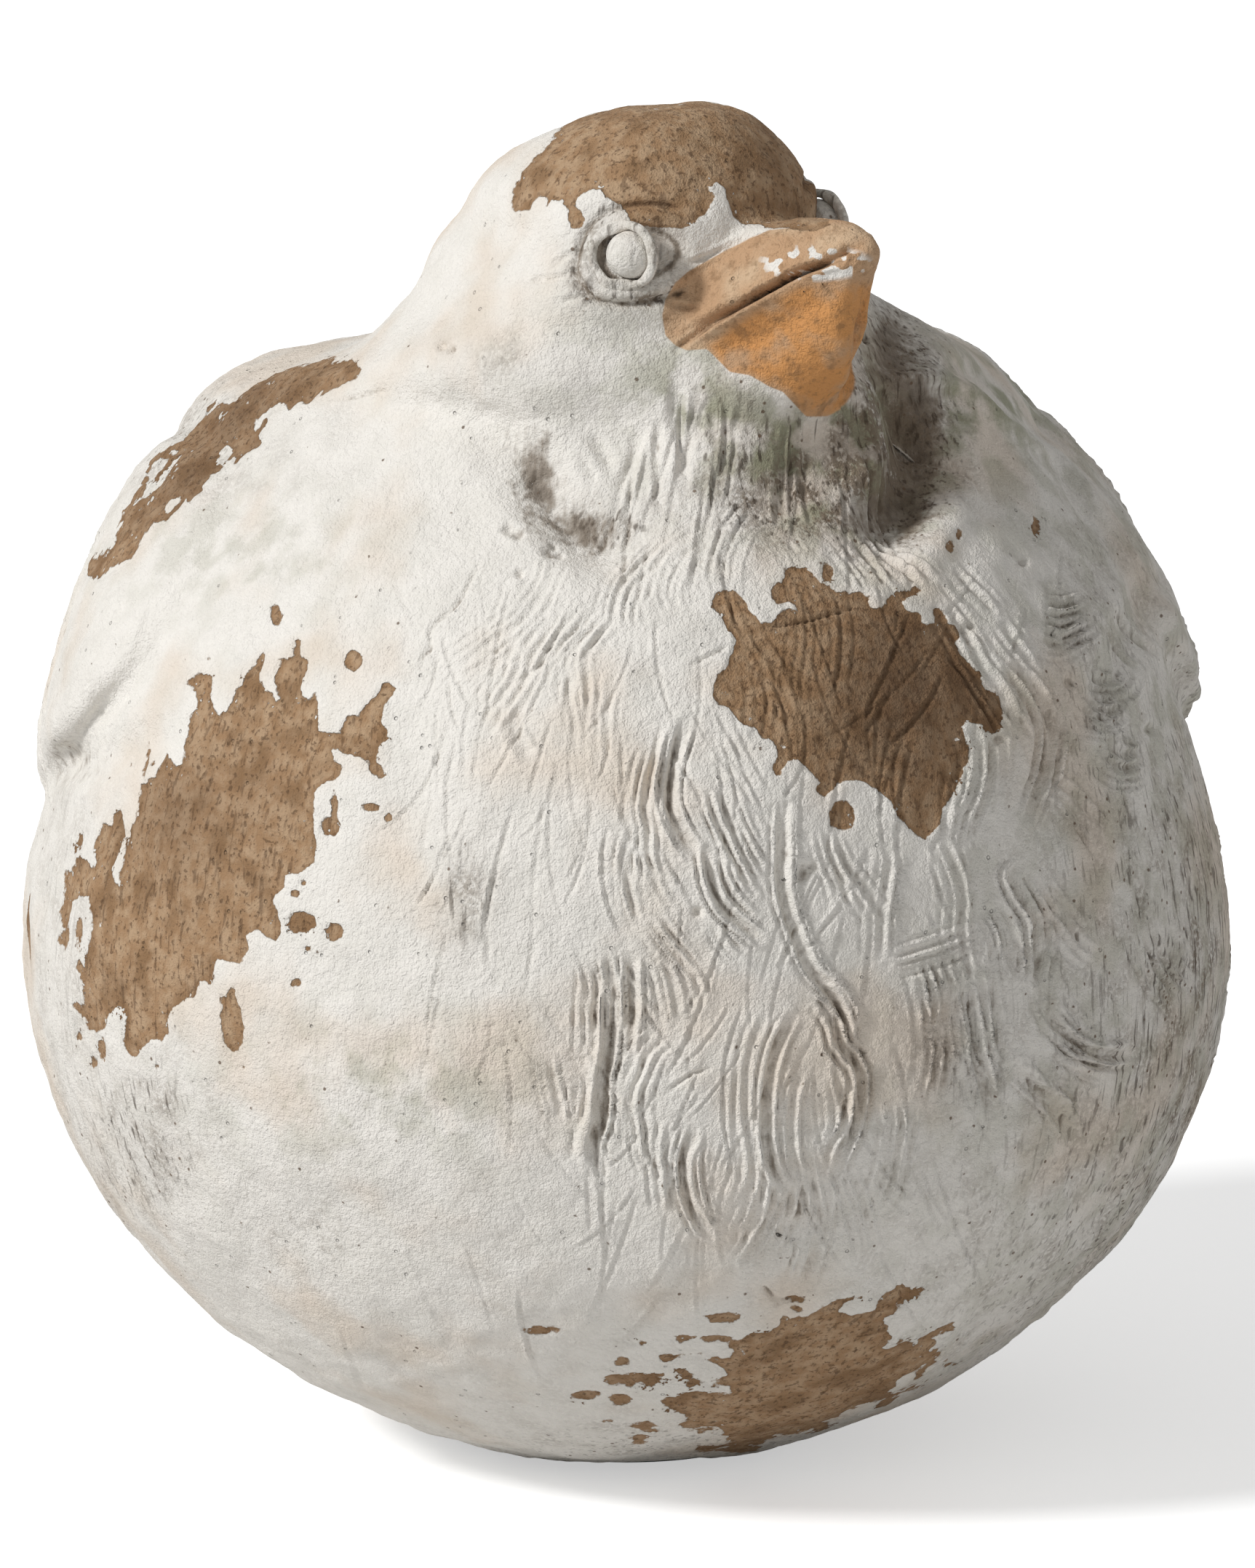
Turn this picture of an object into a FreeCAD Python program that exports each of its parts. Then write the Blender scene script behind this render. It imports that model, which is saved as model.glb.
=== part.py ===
"""A large round bird, cast hollow in plaster and worked over by hand, that stands on a felt-covered base.

Frame: millimetres, +Z up. The breast faces -Y and the bird's left side is +X. The origin is the centre of the
felt's underside. The hollow body is two half shells lapped along an upright seam. The head, turned to the bird's
left, is a shell of its own that sockets into the body's collar and holds both shells together. The wings, tail,
beak, eyelids and eyes are separate castings, pinned or seated on it.
"""

import FreeCAD
import Part

import math
import os
from collections import namedtuple

V = FreeCAD.Vector
Level = namedtuple("Level", "z x y front back side yaw")

# Body form
body_half_width = 166.0
breast_reach = 166.0
back_reach = 168.0
equator_height = 140.0
belly_drop = 144.4
collar_height = 298.0
body_level_count = 6
points_per_level = 16
outline_start_angle = -100.0

# Head form, with its turn to the bird's left in degrees
head_yaw = 35.0
head_offset_x = 3.2
head_offset_y = -61.5
neck_length = 43.0
face_reach = 32.0
nape_reach = 72.0
head_half_width = 44.0
head_rise = 40.0
crown_angles = (6.0, 22.0, 38.0, 54.0, 70.0)
nape_rounding_power = 1.6

# Walls, lap, clearance and the length by which every cutting tool runs past its work
shell_wall = 11.0
head_wall = 9.0
floor_thickness = 18.0
collar_thickness = 12.0
slip_gap = 0.2
seam_offset_y = 6.0
lap_length = 12.0
overrun = 60.0

# Neck joint: a tilted plane through the crease under the throat and the crease behind the nape
neck_tilt = 10.0
neck_joint_drop = 9.5
neck_joint_y = -50.0
neck_bore_radius = 44.0
spigot_wall = 7.0
spigot_depth = 10.0
neck_passage_rise = 12.0
throat_radius = 33.0

# Base
felt_thickness = 2.0
felt_radius = 44.0
drain_radius = 31.0
plug_radius = 37.0
plug_thickness = 10.0
vent_radius = 5.0

# Wings: the axis runs round the body from the shoulder to the tip, with angles taken from the breast
wing_thickness = 8.0
wing_half_height = 47.0
wing_front_angle = 72.0
wing_tip_angle = 164.0
wing_front_height = 255.0
wing_tip_height = 118.0
wing_droop_power = 1.5
wing_seat_depth = 4.0
wing_pin_radius = 2.0
wing_pin_length = 13.0

# Tail
tail_length = 34.0
tail_half_width = 30.0
tail_half_thickness = 11.0
tail_root_height = 122.0
tail_pitch = 14.0
tail_pin_radius = 2.0
tail_pin_length = 20.0
tail_pin_spacing = 28.0

# Beak: its tip from the centre of the skull, its root, and the line of the mouth
beak_tip_forward = 72.0
beak_tip_rise = 10.0
beak_length = 62.0
beak_half_width = 26.0
culmen_height = 24.0
jaw_depth = 32.0
mouth_pitch = 31.0
mouth_gap = 1.0
beak_pin_radius = 1.5
beak_pin_length = 20.0
beak_pin_forward = 19.0
upper_pin_drop = 4.0
lower_pin_drop = 24.0

# Eyes and lids
eye_radius = 7.0
eye_forward = 18.0
eye_rise = 5.0
eye_sink = 1.0
eye_back_depth = 4.5
lid_width = 4.2
lid_height = 1.8

# Woven binding inside the joints
scrim_thickness = 3.0
scrim_width = 44.0
neck_scrim_height = 21.0

# Shoulder levels: height towards the collar, centre towards the back, reach to the front, to the back and to the
# side, and the share of the head's turn. Lengths across are shares of the body's reach in that direction.
shoulder_level_shares = (
    (0.158, 0.00, 0.994, 0.994, 0.982, 0.00),
    (0.316, 0.00, 0.982, 0.982, 0.940, 0.00),
    (0.481, 0.01, 0.960, 0.950, 0.892, 0.00),
    (0.620, 0.03, 0.925, 0.875, 0.843, 0.00),
    (0.734, 0.07, 0.895, 0.765, 0.780, 0.00),
    (0.823, 0.13, 0.875, 0.650, 0.735, 0.00),
    (0.892, 0.18, 0.855, 0.555, 0.700, 0.03),
    (0.949, 0.18, 0.825, 0.460, 0.655, 0.08),
    (1.000, 0.12, 0.745, 0.360, 0.590, 0.16),
)

# Neck levels: height up the neck, centre and turn towards the skull's, then reach to the front, back and side as
# shares of the neck's half width there, which runs evenly from the collar's to the skull's.
neck_level_shares = (
    (0.186, 0.43, 0.50, 0.99, 0.78, 0.96),
    (0.419, 0.71, 0.80, 0.79, 1.05, 0.95),
    (0.651, 0.86, 0.95, 0.65, 1.22, 0.94),
    (0.884, 0.96, 1.00, 0.68, 1.52, 1.00),
)

# Wing stations: place along the axis, half height and thickness
wing_station_shares = (
    (0.05, 0.52, 0.45),
    (0.14, 0.84, 0.80),
    (0.28, 1.00, 1.00),
    (0.45, 0.90, 1.00),
    (0.62, 0.70, 0.90),
    (0.80, 0.45, 0.75),
    (0.93, 0.22, 0.55),
)
wing_pin_shares = (0.30, 0.62)

# Tail stations: place along the tail, half width and half thickness
tail_station_shares = (
    (0.00, 1.15, 1.50),
    (0.30, 1.05, 1.10),
    (0.65, 1.00, 0.80),
    (0.90, 0.86, 0.55),
    (1.00, 0.66, 0.32),
)
tail_root_share = 0.5

# Beak stations: distance from the tip, height over the mouth line, depth under it and half width
beak_station_shares = (
    (0.05, 0.21, 0.18, 0.21),
    (0.145, 0.43, 0.36, 0.38),
    (0.29, 0.62, 0.57, 0.54),
    (0.45, 0.79, 0.76, 0.68),
    (0.61, 0.94, 0.90, 0.82),
    (0.81, 1.00, 0.98, 0.93),
    (1.00, 1.00, 1.00, 1.00),
)

collar_rise = collar_height - equator_height
skull = V(head_offset_x, head_offset_y, collar_height + neck_length)
forward = V(math.sin(math.radians(head_yaw)), -math.cos(math.radians(head_yaw)), 0)
leftward = V(-forward.y, forward.x, 0)
upward = V(0, 0, 1)

joint_axis = V(0, -math.sin(math.radians(neck_tilt)), math.cos(math.radians(neck_tilt)))
joint_centre = V(0, neck_joint_y, collar_height - neck_joint_drop)
spigot_bore_radius = neck_bore_radius - slip_gap - spigot_wall

mouth_axis = forward * math.cos(math.radians(mouth_pitch)) + upward * math.sin(math.radians(mouth_pitch))
mouth_normal = mouth_axis.cross(leftward)
beak_tip = skull + forward * beak_tip_forward + upward * beak_tip_rise
eye_axis_point = skull + forward * eye_forward + upward * eye_rise


def closed_curve(points):
    """A smooth closed wire through the points, which are evenly spread in its parameter."""
    curve = Part.BSplineCurve()
    parameters = [i / len(points) for i in range(len(points) + 1)]
    curve.interpolate(Points=points, PeriodicFlag=True, Parameters=parameters)
    return Part.Wire([curve.toShape()])


def level_curve(level):
    """The outline of a level: an oval with its own reach to the front, to the back and to each side.

    It starts and ends on the breast, clear of the wings, the beak and the eyes.
    """
    points = []
    for i in range(points_per_level):
        angle = math.radians(outline_start_angle) + 2 * math.pi * i / points_per_level
        local = angle - math.radians(level.yaw)
        reach = level.front if math.sin(local) < 0 else level.back
        radius = 1 / math.hypot(math.sin(local) / reach, math.cos(local) / level.side)
        points.append(V(level.x + radius * math.cos(angle), level.y + radius * math.sin(angle), level.z))
    return closed_curve(points)


def oval(centre, width_axis, height_axis, half_width, half_height, half_depth):
    """An oval across two axes, which may reach further down its height axis than up it."""
    points = []
    for i in range(points_per_level):
        angle = 2 * math.pi * i / points_per_level
        reach = half_height if math.sin(angle) > 0 else half_depth
        points.append(centre + width_axis * (half_width * math.cos(angle)) + height_axis * (reach * math.sin(angle)))
    return closed_curve(points)


def slab(point, axis, thickness):
    """A wide flat block that starts at a plane through the point and runs along the axis."""
    side = back_reach + collar_height + overrun
    block = Part.makeBox(2 * side, 2 * side, thickness, V(-side, -side, 0))
    block.Placement = FreeCAD.Placement(point, FreeCAD.Rotation(upward, axis))
    return block


def rod(point, axis, radius, length):
    return Part.makeCylinder(radius, length, point, axis)


def largest(shape):
    return max(shape.Solids, key=lambda solid: solid.Volume)


def body_levels(inset, bottom):
    """Levels of the body from its flat bottom to the collar, drawn in by the inset."""
    drop = belly_drop - inset
    start = math.asin((equator_height - bottom) / drop)
    levels = []
    for i in range(body_level_count + 1):
        angle = start * (1 - i / body_level_count)
        reach = math.cos(angle)
        levels.append(Level(equator_height - drop * math.sin(angle), 0, 0, (breast_reach - inset) * reach,
                            (back_reach - inset) * reach, (body_half_width - inset) * reach, 0))
    for height, centre, front, back, side, turn in shoulder_level_shares:
        levels.append(Level(equator_height + (collar_rise - inset) * height, 0, body_half_width * centre,
                            breast_reach * front - inset, back_reach * back - inset,
                            body_half_width * side - inset, head_yaw * turn))
    return levels


def neck_levels():
    """Levels between the collar and the skull."""
    collar = body_levels(0, felt_thickness)[-1]
    levels = []
    for height, centre, turn, front, back, side in neck_level_shares:
        width = collar.side + (head_half_width - collar.side) * height
        levels.append(Level(collar.z + neck_length * height, skull.x * centre,
                            collar.y + (skull.y - collar.y) * centre, width * front, width * back,
                            width * side, head_yaw * turn))
    return levels


def crown_levels():
    """Levels of the skull above its centre."""
    levels = []
    for degrees in crown_angles:
        reach = math.cos(math.radians(degrees))
        levels.append(Level(skull.z + head_rise * math.sin(math.radians(degrees)), skull.x, skull.y,
                            face_reach * reach, nape_reach * reach**nape_rounding_power,
                            head_half_width * reach, head_yaw))
    return levels


def drawn_in(level, inset):
    """The same level with every reach shorter by the inset, and lower above the middle of the skull."""
    rise = max(level.z - skull.z, 0)
    return level._replace(z=level.z - rise * inset / head_rise, front=level.front - inset,
                          back=level.back - inset, side=level.side - inset)


def skin(levels, end):
    """A solid through the levels, flat at the bottom and closed to a point at the end."""
    sections = [level_curve(level) for level in levels]
    sections.append(Part.Vertex(end))
    return Part.makeLoft(sections, True)


def whole_bird(inset, bottom=felt_thickness):
    """Body, neck and head as one closed form without wings, drawn in by the inset."""
    levels = body_levels(inset, bottom)
    levels += [drawn_in(level, inset) for level in neck_levels() + crown_levels()]
    return skin(levels, skull + upward * (head_rise - inset))


def body_block(inset, bottom, ceiling_drop):
    """The body's form, up to a ceiling that lies under the neck joint by the given drop."""
    ceiling = joint_centre - joint_axis * ceiling_drop
    return whole_bird(inset, bottom).cut(slab(ceiling, joint_axis, collar_rise + neck_length + head_rise))


def body_cavity(clearance):
    """The hollow of the body, smaller all round by the clearance."""
    floor = felt_thickness + floor_thickness + clearance
    return body_block(shell_wall + clearance, floor, collar_thickness + clearance)


def neck_bore(radius, depth):
    """A round hole down the neck's axis from the joint."""
    return rod(joint_centre - joint_axis * depth, joint_axis, radius, depth + overrun)


def front_half(length):
    """Everything forward of the seam, and of the given length past it."""
    return slab(V(0, seam_offset_y + length, 0), V(0, -1, 0), 2 * (breast_reach + overrun))


def shells():
    """The front and back body shells, with a tongue on the front one that laps inside the back one."""
    whole = body_block(0, felt_thickness, 0)
    tongue_bottom = felt_thickness + floor_thickness / 2
    hollow = body_cavity(0).fuse(neck_bore(neck_bore_radius, collar_thickness + overrun))
    hollow = hollow.fuse(rod(V(0, 0, 0), upward, drain_radius, felt_thickness + floor_thickness + overrun))
    hollow = hollow.fuse(rod(V(0, 0, 0), upward, plug_radius, felt_thickness + plug_thickness + slip_gap))
    lap_drop = collar_thickness / 2
    tongue = body_block(shell_wall / 2, tongue_bottom, lap_drop).common(front_half(lap_length))
    front = whole.common(front_half(0)).fuse(tongue).cut(hollow)
    recess = body_block(shell_wall / 2 - slip_gap, tongue_bottom - slip_gap, lap_drop - slip_gap)
    recess = recess.common(front_half(lap_length + slip_gap))
    back = whole.cut(front_half(slip_gap)).cut(recess).cut(hollow)
    return largest(front), largest(back)


def head_shell(outer):
    """Throat, neck and skull: hollow, with a spigot below that drops into the collar."""
    above_joint = slab(joint_centre + joint_axis * slip_gap, joint_axis, collar_rise + neck_length + head_rise)
    solid = outer.common(above_joint)
    spigot = rod(joint_centre - joint_axis * spigot_depth, joint_axis, neck_bore_radius - slip_gap,
                 spigot_depth + collar_thickness)
    throat = Level(joint_centre.z, joint_centre.x, joint_centre.y, throat_radius, throat_radius, throat_radius, 0)
    inner_levels = [drawn_in(level, head_wall) for level in neck_levels()[2:] + crown_levels()]
    inner = skin([throat] + inner_levels, skull + upward * (head_rise - head_wall))
    passage = rod(joint_centre - joint_axis * (spigot_depth + overrun), joint_axis, spigot_bore_radius,
                  spigot_depth + overrun + neck_passage_rise)
    head = solid.fuse(spigot).cut(passage).cut(inner)
    for side in (-1, 1):
        head = head.cut(eyeball(outer, side, slip_gap))
    return head


def side_face(solid):
    return max(solid.Faces, key=lambda face: face.Area)


def surface_point(solid, start, direction):
    """Where a ray from inside the solid leaves it, and the outward normal there."""
    ray = Part.makeLine(start, start + direction * (2 * back_reach))
    point = ray.common(solid).Vertexes[-1].Point
    face = side_face(solid)
    normal = face.normalAt(*face.Surface.parameter(point))
    if normal.dot(direction) < 0:
        normal = normal * -1
    return point, normal


def wing_axis(outer, side, share):
    """A point of the wing's axis on the body, with the body's outward normal there."""
    angle = math.radians(wing_front_angle + (wing_tip_angle - wing_front_angle) * share)
    height = wing_front_height + (wing_tip_height - wing_front_height) * share**wing_droop_power
    return surface_point(outer, V(0, 0, height), V(side * math.sin(angle), -math.cos(angle), 0))


def wing(outer, side, bed):
    """A folded wing: a teardrop lobe laid on the flank, broad at the shoulder and narrow at the tip."""
    start = wing_axis(outer, side, 0)[0]
    end = wing_axis(outer, side, 1)[0]
    centres = [start] + [wing_axis(outer, side, share)[0] for share, height, depth in wing_station_shares] + [end]
    sections = [Part.Vertex(start)]
    for i, (share, height, thickness) in enumerate(wing_station_shares):
        point, normal = wing_axis(outer, side, share)
        along = centres[i + 2] - centres[i]
        across = normal.cross(along).normalize()
        sections.append(oval(point, across, normal, wing_half_height * height, wing_thickness * thickness,
                             wing_seat_depth + wing_thickness * thickness))
    sections.append(Part.Vertex(end))
    return largest(Part.makeLoft(sections, True).cut(bed))


def wing_pin(outer, side, share, radius):
    """A dowel through the wing's seat, half in the body's wall and half in the wing."""
    point, normal = wing_axis(outer, side, share)
    return rod(point - normal * (wing_pin_length / 2), normal, radius, wing_pin_length)


def tail_frame(outer):
    """Where the tail's axis leaves the body, the axis, and the direction above it."""
    point = surface_point(outer, V(0, 0, tail_root_height), V(0, 1, 0))[0]
    pitch = math.radians(tail_pitch)
    return point, V(0, math.cos(pitch), -math.sin(pitch)), V(0, math.sin(pitch), math.cos(pitch))


def tail(outer, bed):
    """A short blunt tail that widens into the rump."""
    point, along, above = tail_frame(outer)
    root = point - along * (tail_length * tail_root_share)
    sections = []
    for share, width, thickness in tail_station_shares:
        centre = root + along * (tail_length * (share * (1 + tail_root_share)))
        half = tail_half_thickness * thickness
        sections.append(oval(centre, V(1, 0, 0), above, tail_half_width * width, half, half))
    return largest(Part.makeLoft(sections, True).cut(bed))


def tail_pin(outer, side, radius):
    """A dowel along the tail, half in the body's wall and half in the tail."""
    point, along = tail_frame(outer)[:2]
    start = point - along * (tail_pin_length / 2) + V(side * tail_pin_spacing / 2, 0, 0)
    return rod(start, along, radius, tail_pin_length)


def beak_half(upper, bed):
    """One half of the stout beak, above or below the flat line of the mouth."""
    sections = [Part.Vertex(beak_tip)]
    for distance, height, depth, width in beak_station_shares:
        centre = beak_tip - mouth_axis * (beak_length * distance)
        sections.append(oval(centre, leftward, mouth_normal, beak_half_width * width, culmen_height * height,
                             jaw_depth * depth))
    whole = Part.makeLoft(sections, True)
    axis = mouth_normal if upper else mouth_normal * -1
    half = whole.common(slab(beak_tip + axis * (mouth_gap / 2), axis, beak_length + overrun))
    return largest(half.cut(bed))


def beak_pin(upper, radius):
    """A wire dowel from the face into one half of the beak, set by its drop under the eyes."""
    drop = upper_pin_drop if upper else lower_pin_drop
    start = skull + forward * beak_pin_forward + upward * (eye_rise - drop)
    return rod(start, forward, radius, beak_pin_length)


def eye_seat(outer, side):
    return surface_point(outer, eye_axis_point, leftward * side)


def eyeball(outer, side, clearance):
    """A domed eye with a flat back, larger by the clearance when it cuts its own socket."""
    point, normal = eye_seat(outer, side)
    centre = point - normal * eye_sink
    ball = Part.makeSphere(eye_radius + clearance, centre)
    back = centre - normal * (eye_back_depth + clearance)
    return ball.common(rod(back, normal, 2 * eye_radius, eye_back_depth + 2 * eye_radius))


def eyelids(outer, lid_skin, side, bed):
    """The rolled lids: a ring of even height that follows the head round the eye."""
    point, normal = eye_seat(outer, side)
    tube = rod(point - normal * eye_radius, normal, eye_radius + lid_width, 2 * eye_radius)
    ring = lid_skin.common(tube).cut(bed)
    return largest(ring.cut(eyeball(outer, side, slip_gap)))


def felt_base():
    return rod(V(0, 0, 0), upward, felt_radius, felt_thickness)


def base_plug():
    """A stepped disc that closes the drain hole, with a vent through it."""
    disc = rod(V(0, 0, felt_thickness), upward, plug_radius - slip_gap, plug_thickness)
    boss = rod(V(0, 0, felt_thickness), upward, drain_radius - slip_gap, floor_thickness)
    return disc.fuse(boss).cut(rod(V(0, 0, 0), upward, vent_radius, felt_thickness + floor_thickness + overrun))


def seam_scrims():
    """Two bands of plaster-soaked cloth inside the body, one each side of the drain hole and the neck."""
    band = body_cavity(slip_gap).cut(body_cavity(slip_gap + scrim_thickness))
    band = band.common(front_half(scrim_width / 2)).cut(front_half(-scrim_width / 2))
    band = band.cut(rod(V(0, 0, 0), upward, plug_radius, collar_height))
    band = band.cut(neck_bore(neck_bore_radius + slip_gap, collar_thickness + overrun))
    left = max(band.Solids, key=lambda solid: solid.CenterOfMass.x)
    right = min(band.Solids, key=lambda solid: solid.CenterOfMass.x)
    return left, right


def neck_scrim():
    """A sleeve of the same cloth inside the neck, across the joint."""
    start = joint_centre - joint_axis * (spigot_depth - slip_gap)
    outside = rod(start, joint_axis, spigot_bore_radius - slip_gap, neck_scrim_height)
    return outside.cut(rod(start, joint_axis, spigot_bore_radius - slip_gap - scrim_thickness, neck_scrim_height))


def build():
    """Every piece by name."""
    outer = whole_bird(0)
    bed = whole_bird(-slip_gap)
    lid_skin = whole_bird(-slip_gap - lid_height)
    pieces = {}
    pieces["felt_base"] = felt_base()
    pieces["base_plug"] = base_plug()
    pieces["breast_shell"], pieces["back_shell"] = shells()
    pieces["head_shell"] = head_shell(outer)
    pieces["tail"] = tail(outer, bed)
    for name, upper in (("upper_beak", True), ("lower_beak", False)):
        pieces[name] = beak_half(upper, bed)
        pieces[name + "_pin"] = beak_pin(upper, beak_pin_radius)
        for carrier in (name, "head_shell"):
            pieces[carrier] = pieces[carrier].cut(beak_pin(upper, beak_pin_radius + slip_gap))
    for name, side in (("left", 1), ("right", -1)):
        pieces[name + "_wing"] = wing(outer, side, bed)
        pieces[name + "_eyeball"] = eyeball(outer, side, 0)
        pieces[name + "_eyelids"] = eyelids(outer, lid_skin, side, bed)
        for number, share in enumerate(wing_pin_shares, 1):
            pieces[f"{name}_wing_pin_{number}"] = wing_pin(outer, side, share, wing_pin_radius)
            for carrier in (name + "_wing", "back_shell"):
                hole = wing_pin(outer, side, share, wing_pin_radius + slip_gap)
                pieces[carrier] = pieces[carrier].cut(hole)
        pieces[name + "_tail_pin"] = tail_pin(outer, side, tail_pin_radius)
        for carrier in ("tail", "back_shell"):
            pieces[carrier] = pieces[carrier].cut(tail_pin(outer, side, tail_pin_radius + slip_gap))
    pieces["left_seam_scrim"], pieces["right_seam_scrim"] = seam_scrims()
    pieces["neck_scrim"] = neck_scrim()
    return pieces


os.makedirs("parts", exist_ok=True)
for name, shape in build().items():
    solid = largest(shape)
    solid.exportStep(f"parts/{name}.step")
    box = solid.BoundBox
    print(f"{name:22s} solids {len(shape.Solids)} valid {solid.isValid()} volume {solid.Volume / 1000:9.2f} cm3 "
          f"x {box.XMin:7.1f} {box.XMax:7.1f} y {box.YMin:7.1f} {box.YMax:7.1f} z {box.ZMin:6.1f} {box.ZMax:6.1f}")
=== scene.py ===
# %% [markdown]
# # A fat round bird in distressed chalkware
# Chalkware is cast plaster under a chalk-white coat. On the real bird the coat was combed while it was
# soft, and later worn through to the tan plaster in patches. We load the measured casting first, as a fixed
# frame, and then dress it: one sculpted skin over the castings, two finely made eyes, and procedural
# finishes.

# %% Load the casting
import bpy
import math
import numpy as np
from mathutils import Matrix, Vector
from mathutils.bvhtree import BVHTree


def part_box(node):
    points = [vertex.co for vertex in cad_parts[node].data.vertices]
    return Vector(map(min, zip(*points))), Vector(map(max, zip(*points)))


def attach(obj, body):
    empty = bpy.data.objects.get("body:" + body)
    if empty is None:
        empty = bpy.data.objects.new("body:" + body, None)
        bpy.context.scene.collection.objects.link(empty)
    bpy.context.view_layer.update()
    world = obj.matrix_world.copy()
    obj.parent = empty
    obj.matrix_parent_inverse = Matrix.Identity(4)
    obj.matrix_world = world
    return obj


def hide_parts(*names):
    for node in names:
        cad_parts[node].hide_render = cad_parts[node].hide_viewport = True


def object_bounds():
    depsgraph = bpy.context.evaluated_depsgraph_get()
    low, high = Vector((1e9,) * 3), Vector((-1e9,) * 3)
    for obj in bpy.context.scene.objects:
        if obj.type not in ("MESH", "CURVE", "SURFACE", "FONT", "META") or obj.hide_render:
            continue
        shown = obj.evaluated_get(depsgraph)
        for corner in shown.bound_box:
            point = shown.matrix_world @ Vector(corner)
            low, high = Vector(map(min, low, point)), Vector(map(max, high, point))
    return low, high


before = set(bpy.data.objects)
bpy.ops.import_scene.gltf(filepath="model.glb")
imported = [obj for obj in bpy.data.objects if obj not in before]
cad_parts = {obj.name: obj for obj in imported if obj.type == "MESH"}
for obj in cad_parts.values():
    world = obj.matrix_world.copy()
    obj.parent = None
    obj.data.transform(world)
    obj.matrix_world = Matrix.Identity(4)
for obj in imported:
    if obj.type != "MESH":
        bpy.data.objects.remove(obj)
casting_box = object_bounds()
scene = bpy.context.scene
mm = 0.001
print("castings:", len(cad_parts))

# %% [markdown]
# ## Two small helpers
# Meshes are built from whole arrays of points and triangles, because the skin has over a million triangles
# and adding them one by one would take minutes.

# %% Small helpers
def unit(vector):
    vector = np.asarray(vector, dtype=float)
    return vector / np.linalg.norm(vector, axis=-1, keepdims=True)


def make_mesh(name, points, faces):
    """A mesh from numpy arrays of points and triangles."""
    mesh = bpy.data.meshes.new(name)
    mesh.vertices.add(len(points))
    mesh.vertices.foreach_set("co", np.ascontiguousarray(points, dtype=np.float32).ravel())
    mesh.loops.add(3 * len(faces))
    mesh.loops.foreach_set("vertex_index", np.ascontiguousarray(faces, dtype=np.int32).ravel())
    mesh.polygons.add(len(faces))
    mesh.polygons.foreach_set("loop_start", np.arange(0, 3 * len(faces), 3, dtype=np.int32))
    mesh.update(calc_edges=True)
    return mesh


print("helpers ready")

# %% [markdown]
# ## The viewpoint
# The picture was taken from slightly above and from the bird's right, with a long lens. The camera comes
# first, because many marks on the skin are placed by where they lie in the picture: a sight line through
# that place is followed until it meets the plaster, so that each mark sits on the surface from any side.

# %% Camera
picture_width, picture_height = 1725, 2156
camera_azimuth, camera_elevation = math.radians(-10), math.radians(12.5)
camera_distance = 3.0
focal_pixels = 15000
target = np.array((0.0, 0.0, 0.1815))
toward_camera = np.array((math.sin(camera_azimuth) * math.cos(camera_elevation),
                          -math.cos(camera_azimuth) * math.cos(camera_elevation), math.sin(camera_elevation)))
rightward = np.array((math.cos(camera_azimuth), math.sin(camera_azimuth), 0.0))
screen_up = np.cross(toward_camera, rightward)
eye_point = target + camera_distance * toward_camera

lens = bpy.data.cameras.new("long_lens")
lens.sensor_width = 36
lens.lens = focal_pixels / picture_height * lens.sensor_width
lens.clip_start, lens.clip_end = 0.1, 60
camera = bpy.data.objects.new("camera", lens)
camera.location = eye_point
camera.rotation_euler = Vector(-toward_camera).to_track_quat("-Z", "Y").to_euler()
scene.collection.objects.link(camera)
scene.camera = camera


def to_picture(points):
    """Picture coordinates of points in space."""
    offset = points - target
    depth = camera_distance - offset @ toward_camera
    return np.column_stack((picture_width / 2 + focal_pixels * (offset @ rightward) / depth,
                            picture_height / 2 - focal_pixels * (offset @ screen_up) / depth))


def sight_line(x, y):
    """The direction from the camera through a place in the picture."""
    aim = (-toward_camera + rightward * (x - picture_width / 2) / focal_pixels
           - screen_up * (y - picture_height / 2) / focal_pixels)
    return Vector(aim).normalized()


print("camera", np.round(eye_point, 3))

# %% [markdown]
# ## Light
# Soft light falls from the upper left and leaves the right side in grey shade. A broad sun gives that
# direction and a white world fills the shadows. Both are set so that a colour renders about as it is
# written. The world is full white only where the camera, a mirror or glass looks straight at it.

# %% Light
world_fill, sun_power, sun_angle = 0.33, 2.5, math.radians(11)
scene.view_settings.view_transform = "Standard"
world = bpy.data.worlds.new("studio")
scene.world = world
world.use_nodes = True
sky_nodes, sky_links = world.node_tree.nodes, world.node_tree.links
sky = sky_nodes["Background"]
ray_kind = sky_nodes.new("ShaderNodeLightPath")
looked_at = ray_kind.outputs["Is Camera Ray"]
for kind in ("Is Glossy Ray", "Is Transmission Ray"):
    either = sky_nodes.new("ShaderNodeMath")
    either.operation = "MAXIMUM"
    sky_links.new(looked_at, either.inputs[0])
    sky_links.new(ray_kind.outputs[kind], either.inputs[1])
    looked_at = either.outputs[0]
sky_level = sky_nodes.new("ShaderNodeMapRange")
sky_level.inputs["To Min"].default_value = world_fill
sky_level.inputs["To Max"].default_value = 1.0
sky_links.new(looked_at, sky_level.inputs["Value"])
sky_links.new(sky_level.outputs["Result"], sky.inputs["Strength"])
sky.inputs["Color"].default_value = (1, 1, 1, 1)

key_side = unit(-0.85 * rightward + 0.62 * np.array((0, 0, 1)) + 0.50 * toward_camera)
sun = bpy.data.lights.new("key", "SUN")
sun.energy, sun.angle = sun_power, sun_angle
key = bpy.data.objects.new("key", sun)
key.location = target + 2.5 * key_side
key.rotation_euler = Vector(key_side).to_track_quat("Z", "Y").to_euler()
scene.collection.objects.link(key)
print("key light from", np.round(key_side, 2))

# %% [markdown]
# ## Ground
# The ground is a large pale sheet. It glows a little for the camera alone, so that it shows as white and
# still keeps the bird's shadow.

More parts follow.
